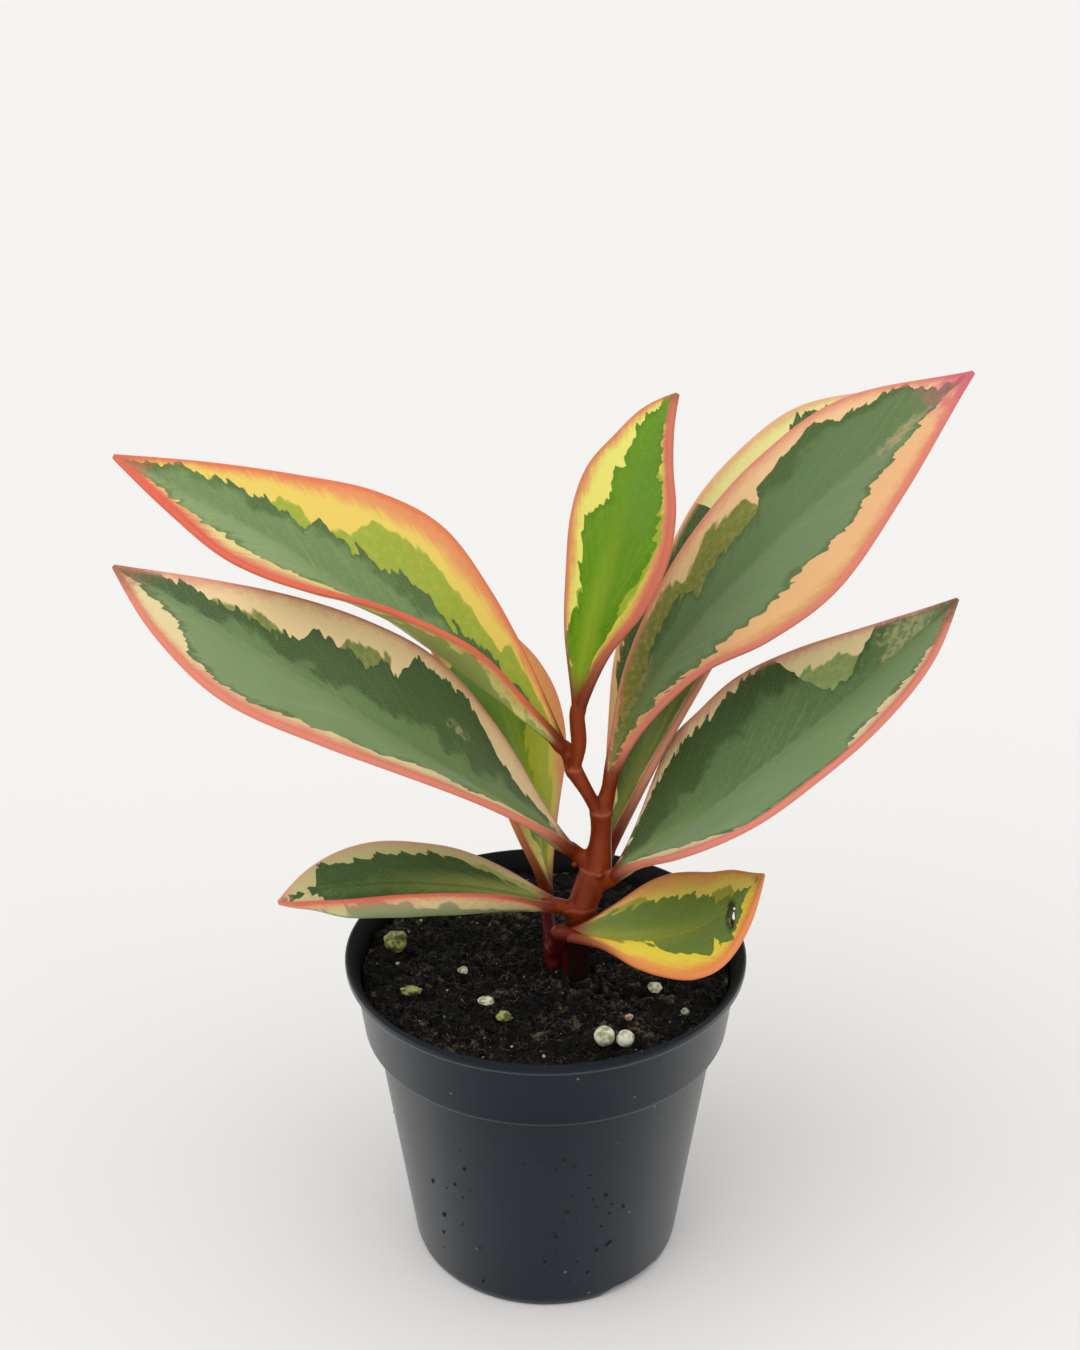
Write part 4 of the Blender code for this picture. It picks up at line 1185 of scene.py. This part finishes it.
def leaf_pattern_group():
    """A leaf's colours from its fields, in millimetres: green, lime, dark, band, rim, underside."""
    group = bpy.data.node_groups.new("leaf_pattern", "ShaderNodeTree")
    for name in ("Rim Left", "Rim Right", "Outer Left", "Outer Right", "Band Left", "Band Right",
                 "Heart Left", "Heart Right", "Lime", "Dark", "Under", "Under Green", "Tip",
                 "Midrib"):
        group.interface.new_socket(name, in_out="INPUT", socket_type="NodeSocketColor")
    group.interface.new_socket("Seed", in_out="INPUT", socket_type="NodeSocketFloat")
    group.interface.new_socket("Color", in_out="OUTPUT", socket_type="NodeSocketColor")
    group.interface.new_socket("Height", in_out="OUTPUT", socket_type="NodeSocketFloat")
    given = group.nodes.new("NodeGroupInput")
    put_out = group.nodes.new("NodeGroupOutput")

    def math_node(operation, first, second=0.5):
        return place_node(group, "Math", {0: first, 1: second}, operation=operation).outputs[0]

    def add(*terms):
        """The sum of sockets, each of them plain or as (socket, factor)."""
        total = None
        for term in terms:
            if isinstance(term, tuple):
                term = math_node("MULTIPLY", *term)
            total = term if total is None else math_node("ADD", total, term)
        return total

    def step(value, low, high):
        """0 at low, 1 at high, smooth between."""
        made = place_node(group, "MapRange", {"Value": value, "From Min": low, "From Max": high},
                          interpolation_type="SMOOTHSTEP")
        return made.outputs["Result"]

    def mix(factor, first, second):
        return blend(group, factor, first, second)

    def mix_value(factor, first, second):
        """The value that lies factor of the way from the first to the second."""
        return add(first, math_node("MULTIPLY", factor, math_node("SUBTRACT", second, first)))

    def field(name):
        read = place_node(group, "Attribute", attribute_name=name).outputs["Vector"]
        return place_node(group, "SeparateXYZ", {"Vector": read}).outputs

    green_edge, lime_edge, dark_edge = field("zones")
    vein_start, across, margin = field("growth")
    outer_edge, rim_edge, grown = field("edges")
    on_right, under, torn = field("sides")
    marbled, to_tip, _ = field("spots")

    def leaf_noise(along, along_size, across_size, detail, shift):
        """Noise from -0.25 to 0.25 whose spots are so many millimetres along and across."""
        place = place_node(group, "CombineXYZ", {
            "X": math_node("DIVIDE", along, along_size),
            "Y": math_node("DIVIDE", across, across_size),
            "Z": math_node("ADD", given.outputs["Seed"], shift)}).outputs["Vector"]
        made = place_node(group, "TexNoise", {"Vector": place, "Scale": 1.0, "Detail": detail,
                                              "Roughness": 0.55})
        return math_node("SUBTRACT", made.outputs["Fac"], 0.5)

    lobes = leaf_noise(vein_start, 5.0, 14.0, 1.0, 0.0)
    half_slanted = math_node("MULTIPLY", math_node("ADD", vein_start, grown), 0.5)
    scallops = leaf_noise(half_slanted, 2.2, 3.6, 1.0, 5.0)
    teeth = leaf_noise(vein_start, 0.8, 2.6, 2.0, 7.0)
    mottle = leaf_noise(grown, 1.6, 1.6, 4.0, 9.0)
    streaks = leaf_noise(vein_start, 1.3, 14.0, 2.0, 13.0)
    clouds = leaf_noise(grown, 9.0, 9.0, 2.0, 17.0)
    stipple = leaf_noise(grown, 0.35, 0.35, 2.0, 21.0)

    edge = add(green_edge, (lobes, 3.0), (scallops, 4.6), (teeth, 0.8))
    green = step(edge, -0.12, 0.12)
    lime = step(add(lime_edge, (lobes, -4.0), (scallops, 3.0), (teeth, 0.7)), -0.4, 0.5)
    dark = step(add(dark_edge, (streaks, 3.0), (clouds, 14.0), (mottle, 3.0)), -1.5, 1.5)
    fringe = math_node("SUBTRACT", 1.0, step(add(edge, (clouds, 6.0), (mottle, 2.0)), 0.2, 1.8))
    wave = add((vein_start, 0.16), (clouds, 0.9))
    line = math_node("ABSOLUTE", math_node("SUBTRACT", math_node("FRACT", wave), 0.5))
    vein = math_node("SUBTRACT", 1.0, step(line, 0.0, 0.07))
    aside = math_node("ABSOLUTE", across)
    midrib = math_node("MULTIPLY", step(aside, 0.55, 0.1), step(grown, 110.0, 20.0))
    base_glow = math_node("MULTIPLY", step(add(aside, (streaks, 3.0)), 4.5, 0.5),
                          step(grown, 45.0, 5.0))

    def sided(name):
        return mix(on_right, given.outputs[name + " Left"], given.outputs[name + " Right"])

    # The two heart tones meet along the midrib; besides the leaf's own colour, their difference paints
    # a pale sheen on the front half of some leaves.
    side_blend = step(add(across, (scallops, 2.0)), 1.2, -1.2)
    heart = mix(side_blend, given.outputs["Heart Left"], given.outputs["Heart Right"])
    heart = mix(math_node("MULTIPLY", step(mottle, -0.05, 0.2), 0.14), heart,
                given.outputs["Lime"])
    heart = mix(math_node("MULTIPLY", step(streaks, 0.0, 0.2), 0.08), heart,
                given.outputs["Under"])
    heart = mix(math_node("MULTIPLY", dark, 0.85), heart, given.outputs["Dark"])
    heart = mix(math_node("MULTIPLY", fringe, 0.55), heart, given.outputs["Dark"])
    flecks = step(add(marbled, (mottle, 2.2), (streaks, 0.8)), 0.45, 1.2)
    heart = mix(math_node("MULTIPLY", flecks, 0.32), heart, sided("Band"))
    heart = mix(math_node("MULTIPLY", vein, 0.04), heart, given.outputs["Under"])
    heart = mix(math_node("MULTIPLY", step(stipple, -0.1, 0.25), 0.1), heart,
                given.outputs["Under"])
    heart = mix(math_node("MULTIPLY", base_glow, 0.65), heart, given.outputs["Lime"])
    heart = mix(math_node("MULTIPLY", midrib, 0.35), heart, given.outputs["Midrib"])
    rim_edge = mix_value(under, rim_edge, math_node("SUBTRACT", 0.5, margin))
    rough_margin = add(rim_edge, (teeth, 0.9), (lobes, 1.2))
    band = mix(step(add(outer_edge, (clouds, 5.0), (streaks, 4.0)), -1.8, 1.8), sided("Band"),
               sided("Outer"))
    limed = mix(math_node("MULTIPLY", step(mottle, -0.1, 0.25), 0.2), given.outputs["Lime"],
                sided("Band"))
    skin = mix(green, mix(lime, band, limed), heart)
    patches = step(add(margin, (clouds, 14.0), (lobes, 10.0)), 1.6, 2.6)
    belly = mix(patches, given.outputs["Under"], given.outputs["Under Green"])
    skin = mix(step(under, 0.5, 0.6), skin, belly)
    blush = step(add(rim_edge, (mottle, 5.0), (stipple, 5.0)), -2.8, 0.6)
    off_green = math_node("SUBTRACT", 1.0, math_node("MULTIPLY", green, 0.8))
    skin = mix(math_node("MULTIPLY", math_node("MULTIPLY", blush, 0.45), off_green), skin,
               sided("Rim"))
    rim_tone = mix(step(grown, 16.0, 2.0), sided("Rim"), STALK_TONE)
    skin = mix(math_node("MULTIPLY", step(rough_margin, -1.0, 0.6), 0.9), skin, rim_tone)
    skin = mix(math_node("MULTIPLY", step(add(to_tip, (mottle, 1.0)), 0.2, 0.9), 0.75), skin,
               given.outputs["Tip"])
    skin = mix(step(grown, 6.0, 0.5), skin, STALK_TONE)
    skin = mix(torn, skin, TEAR_TONE)
    height = add((mottle, 0.35), (vein, -0.25), (midrib, -0.3), (teeth, 0.2))
    group.links.new(skin, put_out.inputs["Color"])
    group.links.new(height, put_out.inputs["Height"])
    return group


STALK_TONE = linear("#7c3018")
TEAR_TONE = linear("#3c3418")
leaf_pattern = leaf_pattern_group()


def leaf_material(name, looks, seed):
    """A waxy leaf skin in one leaf's colours."""
    made, tree, shader = new_material(name, 0.45, 0.3)
    shader.inputs["Subsurface Weight"].default_value = 0.1
    shader.inputs["Subsurface Scale"].default_value = 0.001
    pattern = tree.nodes.new("ShaderNodeGroup")
    pattern.node_tree = leaf_pattern
    for socket, key in (("Rim", "rim_tone"), ("Outer", "outer_tone"), ("Band", "band_tone"),
                        ("Heart", "heart")):
        for side, tone in zip(("Left", "Right"), looks[key]):
            pattern.inputs[socket + " " + side].default_value = linear(tone)
    pattern.inputs["Lime"].default_value = linear(looks["lime_tone"])
    pattern.inputs["Dark"].default_value = linear(looks["dark_tone"])
    pattern.inputs["Under"].default_value = linear(looks["under"][0])
    pattern.inputs["Under Green"].default_value = linear(looks["under"][1])
    pattern.inputs["Midrib"].default_value = linear(looks.get("midrib", looks["under"][1]))
    pattern.inputs["Tip"].default_value = linear(looks["tip_tone"])
    pattern.inputs["Seed"].default_value = seed
    tree.links.new(pattern.outputs["Color"], shader.inputs["Base Color"])
    relief = place_node(tree, "Bump", {"Height": pattern.outputs["Height"], "Strength": 0.2,
                                       "Distance": 0.0003})
    tree.links.new(relief.outputs["Normal"], shader.inputs["Normal"])
    return made


for number, (name, leaf) in enumerate(LEAVES.items()):
    blade = leaf_blade(name, leaf, LOOKS[name])
    blade.data.materials.append(leaf_material(name + "_skin", LOOKS[name], 3.0 * number))
    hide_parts(name)
    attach(blade, "root")
